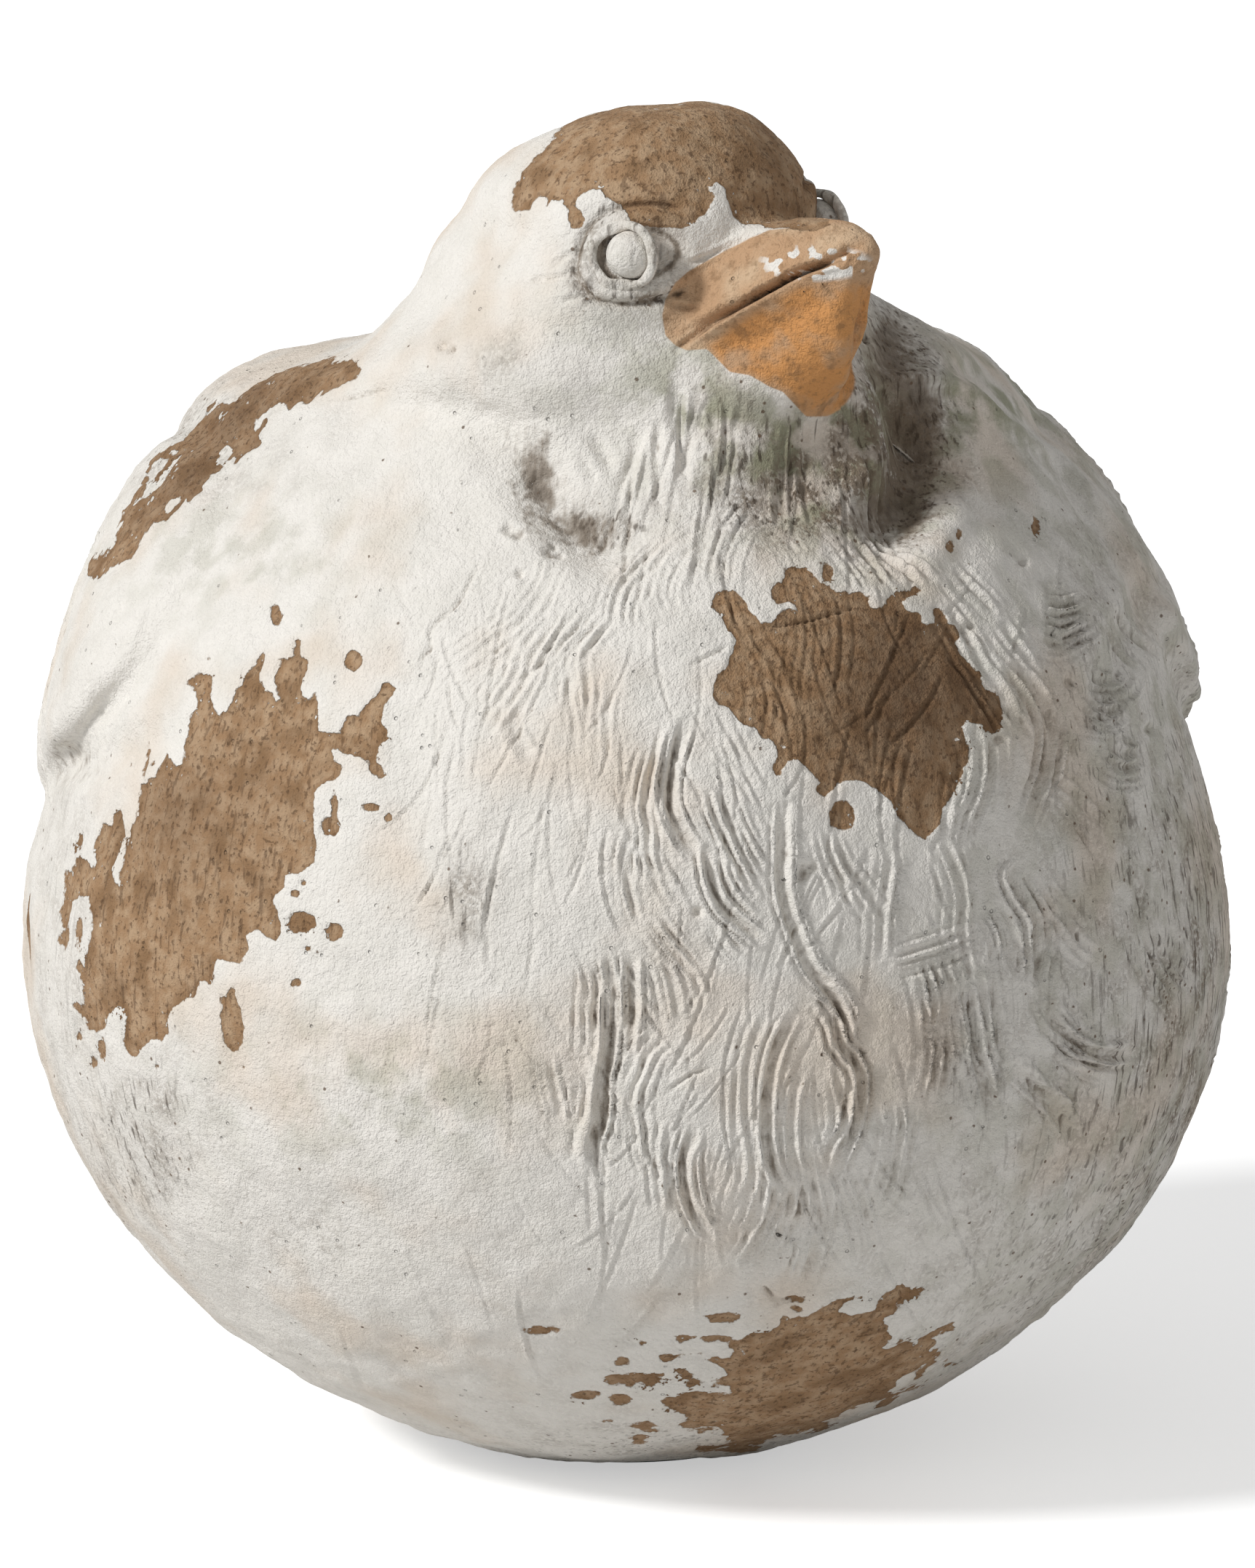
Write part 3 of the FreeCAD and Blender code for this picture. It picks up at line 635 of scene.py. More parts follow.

# %% [markdown]
# ## Tool marks
# Before the coat set, it was worked with a notched blade: long curved grooves, each with a small raised rim
# on one side. The longest ones were traced in enlarged views of the picture, the same way as the patches.

# %% Traced tool marks
traced_marks = {
    breast_view: [
        [(430, 335), (380, 370), (320, 430), (270, 490), (240, 560), (225, 640), (220, 700)],
        [(480, 345), (400, 410), (330, 480), (290, 550), (270, 620), (265, 680)],
        [(510, 375), (420, 420), (360, 500), (330, 560), (320, 640), (325, 700)],
        [(650, 290), (560, 360), (500, 400), (460, 470), (445, 540), (460, 620)],
        [(690, 300), (600, 350), (530, 400), (490, 470), (475, 540), (475, 610)],
        [(570, 385), (530, 440), (510, 500), (505, 560), (525, 610)],
        [(870, 150), (840, 200), (790, 270), (755, 350), (735, 430), (730, 500)],
        [(930, 160), (870, 200), (820, 260), (790, 340), (770, 420), (765, 520)],
        [(910, 190), (860, 240), (830, 310), (800, 380), (790, 470), (795, 530)],
        [(1040, 280), (1110, 410)], [(1070, 280), (1140, 400)],
        [(1310, 290), (1370, 370), (1420, 440), (1450, 500)],
        [(1370, 280), (1430, 360), (1470, 430), (1500, 500)], [(1420, 250), (1480, 300), (1540, 350)],
        [(895, 740), (960, 830), (1000, 900), (1030, 980), (1050, 1060), (1070, 1140)],
        [(925, 890), (950, 970), (960, 1060), (950, 1150), (945, 1230)],
        [(1060, 440), (1110, 520), (1140, 620), (1150, 740), (1140, 860), (1120, 980), (1130, 1100),
         (1150, 1220)],
        [(1270, 520), (1300, 620), (1320, 760), (1315, 860), (1290, 980)],
        [(150, 680), (60, 780), (20, 870), (10, 1000), (20, 1100)],
        [(200, 680), (110, 800), (90, 880), (100, 1000), (120, 1150)]],
    right_view: [
        [(40, 180), (130, 270), (200, 340), (260, 400)], [(80, 160), (180, 250), (250, 320), (330, 390)],
        [(0, 200), (70, 300), (110, 400)], [(430, 340), (500, 420), (560, 480), (600, 530)],
        [(640, 590), (690, 670), (740, 740), (770, 790)],
        [(400, 510), (440, 570), (480, 630), (540, 740), (600, 830), (650, 910), (700, 1000), (760, 1060)],
        [(460, 690), (530, 760), (580, 850), (640, 940), (690, 1020)],
        [(640, 790), (700, 870), (760, 960), (800, 1020)],
        [(840, 930), (870, 1000), (890, 1080), (890, 1180), (880, 1260), (850, 1320)],
        [(510, 1060), (545, 1130), (550, 1200), (535, 1280), (510, 1360), (485, 1450), (470, 1568)],
        [(590, 1100), (600, 1180), (595, 1270), (570, 1360), (530, 1460), (500, 1568)],
        [(840, 490), (900, 500), (960, 490), (1000, 480)],
        [(850, 530), (910, 550), (970, 530), (1010, 500)],
        [(850, 560), (900, 590), (960, 575), (1015, 530)],
        [(830, 640), (880, 665), (940, 650), (1000, 600)],
        [(1060, 800), (1110, 830), (1170, 830), (1190, 790)],
        [(1030, 900), (1080, 960), (1140, 970), (1190, 930)],
        [(1000, 940), (1060, 990), (1120, 1000), (1170, 970)],
        [(1110, 1090), (1150, 1140), (1200, 1165), (1270, 1150)],
        [(1110, 1180), (1150, 1220), (1200, 1235), (1250, 1215)],
        [(880, 1280), (960, 1330), (1020, 1400), (1080, 1480)],
        [(1140, 520), (1200, 590), (1260, 660), (1310, 720)], [(1170, 520), (1250, 620), (1320, 710)]],
    belly_view: [
        [(570, 0), (545, 100), (530, 200), (520, 300), (525, 380), (560, 450)],
        [(460, 130), (435, 200), (415, 280), (405, 360), (415, 430)],
        [(440, 200), (425, 290), (420, 380), (430, 460), (430, 560), (450, 650), (480, 730)],
        [(340, 480), (320, 560), (320, 650), (335, 740), (360, 820), (390, 870)],
        [(350, 560), (345, 640), (350, 730), (375, 830)],
        [(700, 290), (720, 380), (760, 470), (800, 560), (840, 640), (880, 720), (910, 760)],
        [(740, 270), (765, 350), (800, 440), (850, 560), (890, 640), (920, 690)],
        [(765, 290), (800, 400), (850, 500), (900, 590), (930, 620)],
        [(730, 560), (750, 650), (790, 740), (840, 800), (890, 850)],
        [(1230, 470), (1250, 560), (1280, 640), (1310, 720), (1330, 800)],
        [(1270, 500), (1310, 600), (1370, 680), (1420, 750), (1470, 830)],
        [(1520, 560), (1510, 640), (1490, 740), (1475, 850), (1470, 950), (1470, 1030)],
        [(190, 1060), (200, 1150), (190, 1250), (185, 1360)],
        [(240, 1020), (260, 1100), (275, 1200), (280, 1360)],
        [(440, 870), (500, 950), (560, 1020), (610, 1080), (650, 1150), (670, 1250)],
        [(480, 850), (540, 940), (600, 1010), (650, 1080)],
        [(500, 1040), (530, 1130), (550, 1220), (565, 1320)], [(760, 880), (800, 950), (850, 1000)]],
    low_right_view: [
        [(370, 120), (400, 200), (430, 290), (440, 380), (430, 470), (440, 560), (450, 640), (490, 680)],
        [(270, 640), (290, 700), (310, 790), (320, 880), (330, 980), (310, 1100), (290, 1200)],
        [(300, 620), (330, 700), (345, 790), (340, 900)],
        [(340, 600), (370, 690), (370, 800), (350, 900), (370, 1000), (350, 1120), (310, 1230)],
        [(500, 720), (510, 800), (520, 900), (540, 1000), (560, 1050)],
        [(560, 540), (545, 640), (560, 750), (570, 850), (570, 950), (590, 1000), (620, 1020)],
        [(590, 390), (620, 450), (640, 520), (650, 600), (660, 680)],
        [(560, 400), (600, 480), (620, 560), (640, 650)],
        [(700, 270), (740, 340), (770, 400), (790, 480), (780, 560), (760, 640), (740, 710)],
        [(800, 290), (840, 350), (880, 410), (905, 450)],
        [(810, 370), (860, 440), (910, 510), (940, 550), (1000, 590)],
        [(1280, 480), (1310, 560), (1350, 640), (1390, 690)],
        [(1200, 500), (1230, 600), (1290, 700), (1360, 770)],
        [(780, 720), (800, 790), (840, 850), (900, 900), (980, 950)],
        [(790, 800), (820, 870), (880, 930), (960, 980), (1050, 990), (1140, 985)],
        [(890, 990), (950, 1040), (1030, 1070)], [(790, 1000), (840, 1050), (910, 1085)],
        [(690, 1080), (760, 1150), (830, 1200), (870, 1270)],
        [(150, 600), (220, 580), (340, 540), (450, 495)]],
    low_view: [
        [(230, 20), (235, 120), (225, 220)], [(385, 0), (385, 120), (380, 220)],
        [(520, 150), (460, 210), (420, 300), (390, 370), (380, 450), (400, 540), (390, 600)],
        [(440, 340), (435, 440), (445, 540), (455, 620), (490, 700), (480, 740)],
        [(545, 510), (530, 600), (540, 700), (545, 780), (560, 860)],
        [(660, 550), (640, 640), (645, 740), (665, 830), (700, 910), (760, 940)],
        [(930, 60), (890, 160), (865, 270), (860, 380), (865, 500), (885, 600), (890, 680), (870, 760),
         (840, 840)],
        [(1090, 290), (1060, 380), (1050, 480), (1050, 580), (1060, 660), (1100, 720)],
        [(1240, 0), (1280, 80), (1300, 180), (1330, 280)],
        [(1250, 320), (1265, 400), (1270, 500), (1250, 580), (1220, 660)],
        [(940, 720), (920, 800), (890, 880), (860, 940), (850, 1000)],
        [(970, 740), (970, 820), (950, 900), (900, 980), (850, 1060)],
        [(1040, 760), (1040, 850), (1010, 930), (960, 1000)],
        [(1100, 750), (1090, 830), (1050, 910), (1030, 980)],
        [(1110, 620), (1130, 720), (1150, 800), (1160, 880), (1140, 960), (1120, 1060), (1080, 1180)],
        [(1200, 760), (1190, 860), (1170, 950), (1140, 1050), (1110, 1160)],
        [(1290, 670), (1320, 750), (1350, 830), (1370, 920), (1390, 1010)],
        [(1500, 420), (1500, 520), (1480, 640), (1460, 740), (1420, 830)],
        [(40, 230), (60, 330), (80, 420), (90, 500)], [(200, 330), (190, 420), (180, 490)]],
    left_view: [
        [(970, 250), (940, 340), (900, 410), (860, 470), (820, 500)], [(1000, 290), (960, 370), (930, 450)],
        [(930, 480), (935, 520), (900, 570), (860, 610), (840, 640)],
        [(860, 470), (800, 545), (720, 600), (650, 650), (580, 700), (520, 740)],
        [(800, 640), (740, 700), (680, 730), (610, 755)],
        [(1010, 470), (950, 560), (900, 640), (860, 700), (840, 780), (800, 860), (750, 930), (700, 1000),
         (640, 1100)],
        [(810, 720), (780, 800), (730, 880), (680, 950)],
        [(1180, 520), (1110, 590), (1050, 660), (1010, 740), (990, 830), (985, 900)],
        [(1230, 530), (1170, 600), (1120, 690)], [(1050, 790), (1035, 870), (1030, 950)],
        [(1130, 760), (1120, 850), (1110, 960), (1130, 1060)],
        [(1240, 830), (1220, 920), (1210, 1050), (1215, 1180)]]}

traced_deep_marks = {
    right_view: [
        [(700, 780), (770, 870), (820, 950), (850, 1030), (855, 1100), (850, 1170), (830, 1270),
         (800, 1350), (760, 1450)]],
    belly_view: [
        [(590, 0), (560, 80), (540, 160), (525, 250), (525, 330), (545, 400), (580, 470), (620, 530),
         (650, 570)],
        [(690, 550), (700, 640), (720, 720), (760, 800), (820, 860), (880, 910), (930, 950)],
        [(1040, 360), (1030, 450), (1030, 560), (1025, 650), (1035, 750), (1060, 850), (1090, 930),
         (1120, 1010), (1170, 1100), (1230, 1160), (1290, 1230), (1330, 1300)],
        [(350, 1040), (350, 1130), (355, 1230), (350, 1360)],
        [(1200, 1170), (1250, 1210), (1290, 1270), (1310, 1340)]],
    low_right_view: [
        [(440, 720), (460, 800), (480, 900), (490, 1000), (510, 1080), (530, 1170), (545, 1250)],
        [(680, 220), (650, 260), (670, 320), (710, 390), (740, 450), (740, 540), (750, 620), (740, 700)],
        [(780, 820), (850, 920), (920, 980), (1010, 1010), (1090, 1020), (1150, 1010)],
        [(640, 1065), (700, 1130), (770, 1190), (820, 1250), (860, 1310), (890, 1353)]],
    low_view: [
        [(300, 0), (300, 120), (290, 220), (270, 320), (265, 430), (260, 500), (235, 570), (235, 640),
         (270, 700)],
        [(640, 540), (605, 620), (600, 720), (620, 820), (660, 900), (700, 950)],
        [(1050, 60), (1000, 150), (970, 250), (950, 360), (945, 470), (950, 580), (970, 680), (1010, 750)],
        [(1180, 0), (1230, 80), (1250, 160), (1290, 210), (1330, 270), (1340, 340), (1330, 430),
         (1300, 540), (1260, 620), (1230, 720)]],
    left_view: [[(820, 940), (790, 990), (790, 1050), (820, 1110), (860, 1160)]]}

cracks = {
    whole_view: [[(1277, 608), (1334, 661), (1346, 683)], [(463, 549), (532, 537)]],
    breast_view: [[(940, 710), (1160, 670), (1380, 610)], [(590, 890), (780, 790)]],
    low_view: [[(540, 370), (600, 320), (650, 290), (720, 270)], [(930, 1165), (1000, 1225), (1080, 1215)],
               [(140, 530), (130, 640)]],
    bottom_view: [[(840, 110), (900, 190)]],
    right_view: [[(1080, 285), (1135, 390)], [(1040, 737), (1040, 787)], [(1078, 715), (1078, 795)],
                 [(955, 1103), (955, 1167)]],
    low_right_view: [[(1220, 200), (1215, 330), (1180, 430)], [(930, 60), (960, 110), (1000, 180)]],
    left_view: [
        [(620, 260), (570, 350), (530, 430), (480, 490), (420, 540), (390, 590), (385, 660), (350, 700),
         (340, 760), (335, 800)]]}

pits = {
    whole_view: [(1199, 452), (607, 475), (621, 480)],
    right_view: [(490, 598), (740, 300), (632, 1098), (955, 840), (1320, 1050)],
    belly_view: [(1120, 670), (1140, 640), (1175, 628), (650, 830)],
    left_view: [(950, 160), (980, 205), (935, 205), (800, 310), (750, 100), (790, 125)]}

traced_runs = [run for marks in (traced_marks, traced_deep_marks) for runs in marks.values() for run in runs]
print("traced marks", len(traced_runs))

# %% [markdown]
# ## Cutting the traced marks
# A notched blade leaves a main groove with shallow ones beside it, so each traced mark gets two or three
# teeth at uneven distances. The marks high on the left were made with a lighter hand.

# %% Cut the traced marks
light_views, light_hand, firm_hand = (left_view, breast_view), 0.6, 1.15
combed = ((traced_marks, 0.85, 0.75, (-1, 1, 2)), (traced_deep_marks, 1.5, 1.4, (-1, 1)))
for marks, width, depth, teeth in combed:
    for view, runs in marks.items():
        view_depth = depth * (light_hand if view in light_views else firm_hand)
        for run in runs:
            places, side = from_view(view, run), random.choice((-0.8, 0.8))
            main_width = width * random.uniform(0.75, 1.3)
            groove(front, places, main_width, view_depth * random.uniform(0.8, 1.3), rim=0.5, side=side)
            for tooth in teeth:
                gap = tooth * random.uniform(2.0, 2.9) + math.copysign(0.5 * width, tooth)
                tooth_width = random.uniform(0.45, 0.65)
                tooth_depth = view_depth * random.uniform(0.4, 0.8)
                groove(front, beside(places, gap), tooth_width, tooth_depth, rim=0.5, side=side)
for view, runs in cracks.items():
    for run in runs:
        groove(front, from_view(view, run), 0.55, 1.0, rim=0.1)
for view, places in pits.items():
    for place in places:
        mound(front, from_view(view, place), random.uniform(5, 9), -1.6, power=3)
print("front relief from", round(float(front.min()), 2), "to", round(float(front.max()), 2), "mm")

# %% [markdown]
# ## Large forms
# Deep folds part the head from the mantle, and the cheek and breast swell between them. They are the same
# kind of groove as the tool marks, only broader, and have a sheet of their own so that they don't count as
# dirty grooves. Fine wrinkles run out from the eye, and the coat ends in a small step round each worn
# patch.

# %% Large forms
folds = [
    ([(650, 565), (694, 605), (735, 655), (765, 700), (810, 740), (870, 770)], 7.5, 3.6),
    ([(1205, 430), (1235, 500), (1260, 570), (1266, 640), (1240, 700), (1190, 745)], 8.0, 8.0),
    ([(1236, 520), (1262, 570), (1282, 630)], 2.4, 2.5),
    ([(690, 600), (735, 665), (772, 712), (800, 735)], 2.4, 1.2),
    ([(812, 598), (830, 625), (837, 639)], 1.6, 1.6),
    ([(799, 630), (817, 661)], 1.4, 1.2),
    ([(876, 598), (867, 639), (849, 675)], 1.5, 1.2),
    ([(930, 525), (930, 570), (940, 616), (940, 670)], 2.0, 1.5),
    ([(507, 444), (440, 470), (372, 500), (323, 528)], 2.6, 1.2),
    ([(60, 1040), (110, 1050), (170, 1035), (240, 1000)], 5.0, 1.6),
    ([(1600, 783), (1570, 830), (1540, 900), (1500, 980)], 5.0, 2.0)]
wing_edge = [(1246, 465), (1342, 517), (1418, 577), (1485, 625), (1557, 707)]
swellings = [
    ((740, 560), (70, 60), 3.0), ((1010, 640), (60, 70), 2.5), ((700, 1000), (170, 200), 1.5),
    ((420, 1700), (90, 70), -3.0), ((1210, 1000), (120, 150), -1.5), ((820, 1480), (110, 150), -2.0),
    ((1450, 1450), (90, 160), 1.5), ((300, 1250), (80, 180), 1.5), ((1434, 1811), (14, 12), 1.5),
    ((835, 735), (50, 30), -1.5), ((560, 1150), (50, 120), -1.5), ((1000, 545), (60, 30), 2.0)]
eye_wrinkles = [
    [(817, 366), (790, 375), (758, 384), (717, 384)], [(815, 345), (785, 350), (760, 365)],
    [(822, 395), (795, 410), (770, 415)], [(921, 366), (962, 357), (1003, 341), (1033, 327), (1058, 316)],
    [(895, 402), (930, 420), (960, 425)]]
coat_thickness = 0.4
forms = np.zeros(sheet_size)
for run, width, depth in folds:
    groove(forms, run, width, depth, rim=0.2)
groove(forms, wing_edge, 3.0, 1.8, rim=0.5, side=0.8)
for place, reach, height in swellings:
    mound(forms, place, reach, height)
for run in eye_wrinkles:
    groove(front, run, 0.9, 0.9, rim=0.4)
front -= 0.5 * np.clip(bare["front"], -coat_thickness, coat_thickness)
print("forms from", round(float(forms.min()), 2), "to", round(float(forms.max()), 2), "mm")

# %% [markdown]
# ## The painted beak
# The beak is tan above and orange below. Both outlines were traced in the enlarged view of the head, and
# their sheets keep the distance to the edge, like those of the worn patches. The mouth is a fine deep
# groove.

# %% Beak outlines
beak_outline = [
    (1060, 440), (1000, 465), (940, 495), (850, 545), (815, 565), (775, 600), (745, 650), (735, 700),
    (745, 760), (775, 790), (810, 805), (870, 800), (900, 830), (940, 870), (1000, 880), (1060, 915),
    (1100, 930), (1170, 1005), (1240, 1010), (1330, 960), (1430, 800), (1470, 620), (1470, 480),
    (1360, 390), (1240, 400), (1150, 430)]
orange_outline = [
    (870, 790), (900, 830), (940, 870), (1000, 880), (1060, 915), (1100, 930), (1170, 1005), (1240, 1010),
    (1330, 960), (1430, 800), (1460, 620), (1340, 590), (1240, 585), (1150, 605), (1060, 655), (960, 715)]
mouth_line = [(775, 805), (870, 735), (960, 680), (1060, 620), (1150, 570), (1240, 545), (1300, 540)]
groove(front, from_view(crown_view, mouth_line), 0.9, 2.4, rim=0.35)
beak_zone, orange_zone = np.full(sheet_size, far_outside), np.full(sheet_size, far_outside)
wear(beak_zone, from_view(crown_view, beak_outline))
wear(orange_zone, from_view(crown_view, orange_outline))
print("beak cells", int((beak_zone > 0).sum()), "of them orange", int((orange_zone > 0).sum()))

# %% [markdown]
# ## Marks from a fixed seed
# The sides that the picture doesn't show get marks of the same make, laid in sweeping families as a hand
# would. On the front, short strokes fill the breast between the traced marks, and strands run down the
# throat.

# %% Marks from a fixed seed
def flow(place):
    """The way the blade went at a place in the picture: down the breast, swaying from side to side."""
    return 1.57 + 0.42 * math.sin(place[0] / 85 + place[1] / 170) + random.uniform(-0.12, 0.12)


families, breast_strokes, flank_strokes, throat_strands = 34, 230, 26, 44
for name in ("left", "back", "right"):
    for _ in range(families):
        start = random.uniform((150, 480), (1500, 1800))
        heading, bend = random.uniform(1.0, 2.1), random.uniform(-1.3, 1.3)
        length, gap = random.uniform(160, 420), random.uniform(22, 34)
        for i in range(random.integers(1, 5)):
            sweep(relief[name], start + i * gap * np.array((1, 0.2)), heading, bend, length,
                  random.uniform(1.1, 2.2), random.uniform(0.5, 1.4))
for _ in range(breast_strokes):
    start = random.uniform((600, 740), (1560, 1780))
    sweep(front, start, flow(start), random.uniform(-0.7, 0.7), random.uniform(70, 210),
          random.uniform(0.42, 0.7), random.uniform(0.25, 0.6))
for _ in range(flank_strokes):
    start = random.uniform((80, 620), (600, 1800))
    sweep(front, start, flow(start), random.uniform(-0.5, 0.5), random.uniform(60, 160),
          random.uniform(0.5, 0.9), random.uniform(0.10, 0.22))
for _ in range(throat_strands):
    start = random.uniform((840, 540), (1230, 660))
    heading = 1.57 + (1050 - start[0]) / 700 + random.uniform(-0.12, 0.12)
    sweep(front, start, heading, random.uniform(-0.3, 0.3), random.uniform(80, 170),
          random.uniform(0.5, 1.2), random.uniform(0.3, 0.8))
print("relief from", round(float(front.min()), 2), "to", round(float(front.max()), 2), "mm")

# %% [markdown]
# ## Finer skin where the picture sees it
# The skin needs edges near 1 mm all round, and near half a millimetre where a mark or a worn edge lies on
# the side that the picture shows, because those are only a millimetre or two wide. Halving edges in place
# keeps it closed.

# %% Refine the skin
coarse_edge, fine_edge = 2.05 * mm, 1.0 * mm
steep_from, in_sight_from, marked_from = 0.07, 0.08, 0.1
face_place, face_reach = np.array((980, 400)), np.array((260, 170))


def longer_than(length):
    return lambda middle, size: size > length


def marked_and_longer_than(length):
    """Edges on the side that shows, on the face or where the relief is steep or a worn edge runs."""
    marked = np.hypot(*np.gradient(front)) > steep_from
    marked |= np.abs(np.gradient(np.sign(bare["front"]))).sum(axis=0) > 0
    for way in (-1, 1):
        for axis in (0, 1):
            marked |= np.roll(marked, way, axis=axis)
    facing = (normals_of(points, faces) @ toward_camera)[edges_of(faces)[0]].max(axis=1)

    def chosen(middle, size):
        place = to_picture(middle)
        on_face = np.hypot(*((place - face_place) / face_reach).T) < 1
        on_mark = read_sheet(marked.astype(float), place) > marked_from
        return (size > length) & (facing > in_sight_from) & (on_mark | on_face)

    return chosen


points, faces, owner = refine(points, faces, owner, longer_than(coarse_edge))
points = smooth(points, edges_of(faces)[0], 3)
points, faces, owner = refine(points, faces, owner, marked_and_longer_than(fine_edge))
points = smooth(points, edges_of(faces)[0], 2)
edges = edges_of(faces)[0]
normals = normals_of(points, faces)
print("refined", len(points), "points", len(faces), "triangles")

# %% [markdown]
# ## Sculpt the skin
# Each point gets a height from the sheet of the side that it faces, with soft change from side to side.
# Uneven hand work is added as noise on four scales.

# %% Heights from the sheets
noise_cells = 48


def noise(places, size, seed):
    """Smooth noise from -1 to 1 with features of the given size."""
    table = np.random.default_rng(seed).uniform(-1, 1, (noise_cells,) * 3)
    grid = places / size
    base = np.floor(grid).astype(int)
    share = grid - base
    share = share * share * (3 - 2 * share)
    total = np.zeros(len(places))
    for corner in range(8):
        bit = np.array((corner & 1, corner >> 1 & 1, corner >> 2 & 1))
        cell = (base + bit) % noise_cells
        total += table[cell[:, 0], cell[:, 1], cell[:, 2]] * np.where(bit, share, 1 - share).prod(axis=1)
    return total


def turned(vectors, degrees):
    """Vectors turned so that the side at that azimuth faces the camera."""
    c, s = math.cos(math.radians(-degrees)), math.sin(math.radians(-degrees))
    return vectors @ np.array(((c, -s, 0), (s, c, 0), (0, 0, 1))).T


def soft_step(low, high, value):
    share = np.clip((value - low) / (high - low), 0, 1)
    return share * share * (3 - 2 * share)


weight, left_over = {}, np.ones(len(points))
height, worn = np.zeros(len(points)), np.full(len(points), far_outside)
for name, degrees in side_turns.items():
    weight[name] = soft_step(0.04, 0.24, turned(normals, degrees) @ toward_camera) * left_over
    left_over = left_over - weight[name]
    places = to_picture(turned(points - target, degrees) + target)
    height += weight[name] * read_sheet(relief[name], places)
    out_of_sight = 60 * (1 - soft_step(0.0, 0.2, weight[name]))
    worn = np.maximum(worn, read_sheet(bare[name], places) - out_of_sight)
tooled = height.copy()
broad_form = weight["front"] * read_sheet(forms, to_picture(points))
height += broad_form
hand_work = ((0.9, 26, 1), (0.5, 9, 2), (0.22, 3.6, 3), (0.10, 1.5, 4))
height += sum(amount * noise(points, size * mm, seed) for amount, size, seed in hand_work)
print("heights from", round(float(height.min()), 1), "to", round(float(height.max()), 1), "mm")

# %% [markdown]
# ## Eye sockets
# Each eye gets a round socket with a raised rim and a fine crease round that. The tool marks fade near it.
# The places come from the castings of the eyeballs.

# %% Eye sockets
eye_reach = 7 * mm
skull_side, ahead = np.array((0.819, 0.574, 0.0)), np.array((0.574, -0.819, 0.0))


def around_eye(centre, axis):
    """How near each point is to the level of an eye, and its distance from the eye's axis in mm."""
    offset = points - centre
    out = offset @ axis
    return soft_step(-14, -9, out / mm), np.linalg.norm(offset - out[:, None] * axis, axis=1) / mm


def bell(value, middle, half_width):
    return np.exp(-((value - middle) / half_width) ** 2)


eyes = {}
for name, side in (("left", 1), ("right", -1)):
    ball = mesh_arrays(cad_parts[name + "_eyeball"].data)[0]
    axis = skull_side * side
    centre = ball[(ball @ axis).argmax()] - eye_reach * axis
    eyes[name] = (centre, axis)
    near, across = around_eye(centre, axis)
    socket = -3.2 * (1 - soft_step(6.2, 8.0, across)) + 0.9 * bell(across, 10.2, 1.6)
    socket -= 1.3 * bell(across, 13.0, 0.9)
    calm = 1 - near * (1 - soft_step(12, 17, across)) * 0.85
    height = height * calm + near * socket
print("eyes", {name: np.round(centre, 4).tolist() for name, (centre, axis) in eyes.items()})

# %% [markdown]
# ## The beak and the final shape
# The mouth is a dark cut between two soft lips. Then every point moves along its own normal by its height.
# The lower jaw and the tip are slimmed, and the skin is kept a little inside the measured box.

# %% Beak and final shape
box_margin, foot_top, foot_low = 0.2 * mm, 2.6 * mm, 2.1 * mm
upper = mesh_arrays(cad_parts["upper_beak"].data)[0]
beak_tip = upper[(upper @ ahead).argmax()]
mouth_pitch = math.radians(31)
mouth_axis = ahead * math.cos(mouth_pitch) + np.array((0, 0, math.sin(mouth_pitch)))
mouth_normal = np.cross(mouth_axis, skull_side)
from_tip = points - beak_tip
back_along = -(from_tip @ mouth_axis) / mm
above_mouth = from_tip @ mouth_normal / mm
from_axis = np.linalg.norm(from_tip + np.outer(back_along * mm, mouth_axis), axis=1) / mm
ahead_of_skull = soft_step(8, 16, (points - (eyes["left"][0] + eyes["right"][0]) / 2) @ ahead / mm)
mouth = bell(above_mouth, 0, 0.9) * soft_step(1, 6, back_along) * (1 - soft_step(50, 58, back_along))
lip = bell(np.abs(above_mouth), 2.4, 1.0) * soft_step(1, 6, back_along)
lip = lip * (1 - soft_step(48, 56, back_along))
height += ahead_of_skull * (0.5 * lip - 2.6 * mouth)

points = points + normals * (height * mm)[:, None]
on_beak_side = (1 - soft_step(30, 38, from_axis)) * ahead_of_skull
on_jaw = soft_step(1, 10, -above_mouth) * soft_step(2, 14, back_along)
on_jaw = on_jaw * (1 - soft_step(38, 56, back_along)) * on_beak_side
at_tip = (1 - soft_step(1, 20, back_along)) * on_beak_side
sideways = from_tip @ skull_side
points = points - np.outer(sideways * (0.26 * on_jaw + 0.22 * at_tip), skull_side)
points = points - np.outer(np.minimum(above_mouth, 0) * mm * 0.22 * at_tip, mouth_normal)
box_low, box_high = np.array(casting_box[0]), np.array(casting_box[1])
points = np.clip(points, box_low + box_margin, box_high - box_margin)
foot = points[:, 2] < foot_top
points[foot, 2] = np.maximum(points[foot, 2], foot_low)
skin_normals = normals_of(points, faces)
print("sculpted between", np.round(points.min(axis=0), 3), np.round(points.max(axis=0), 3))
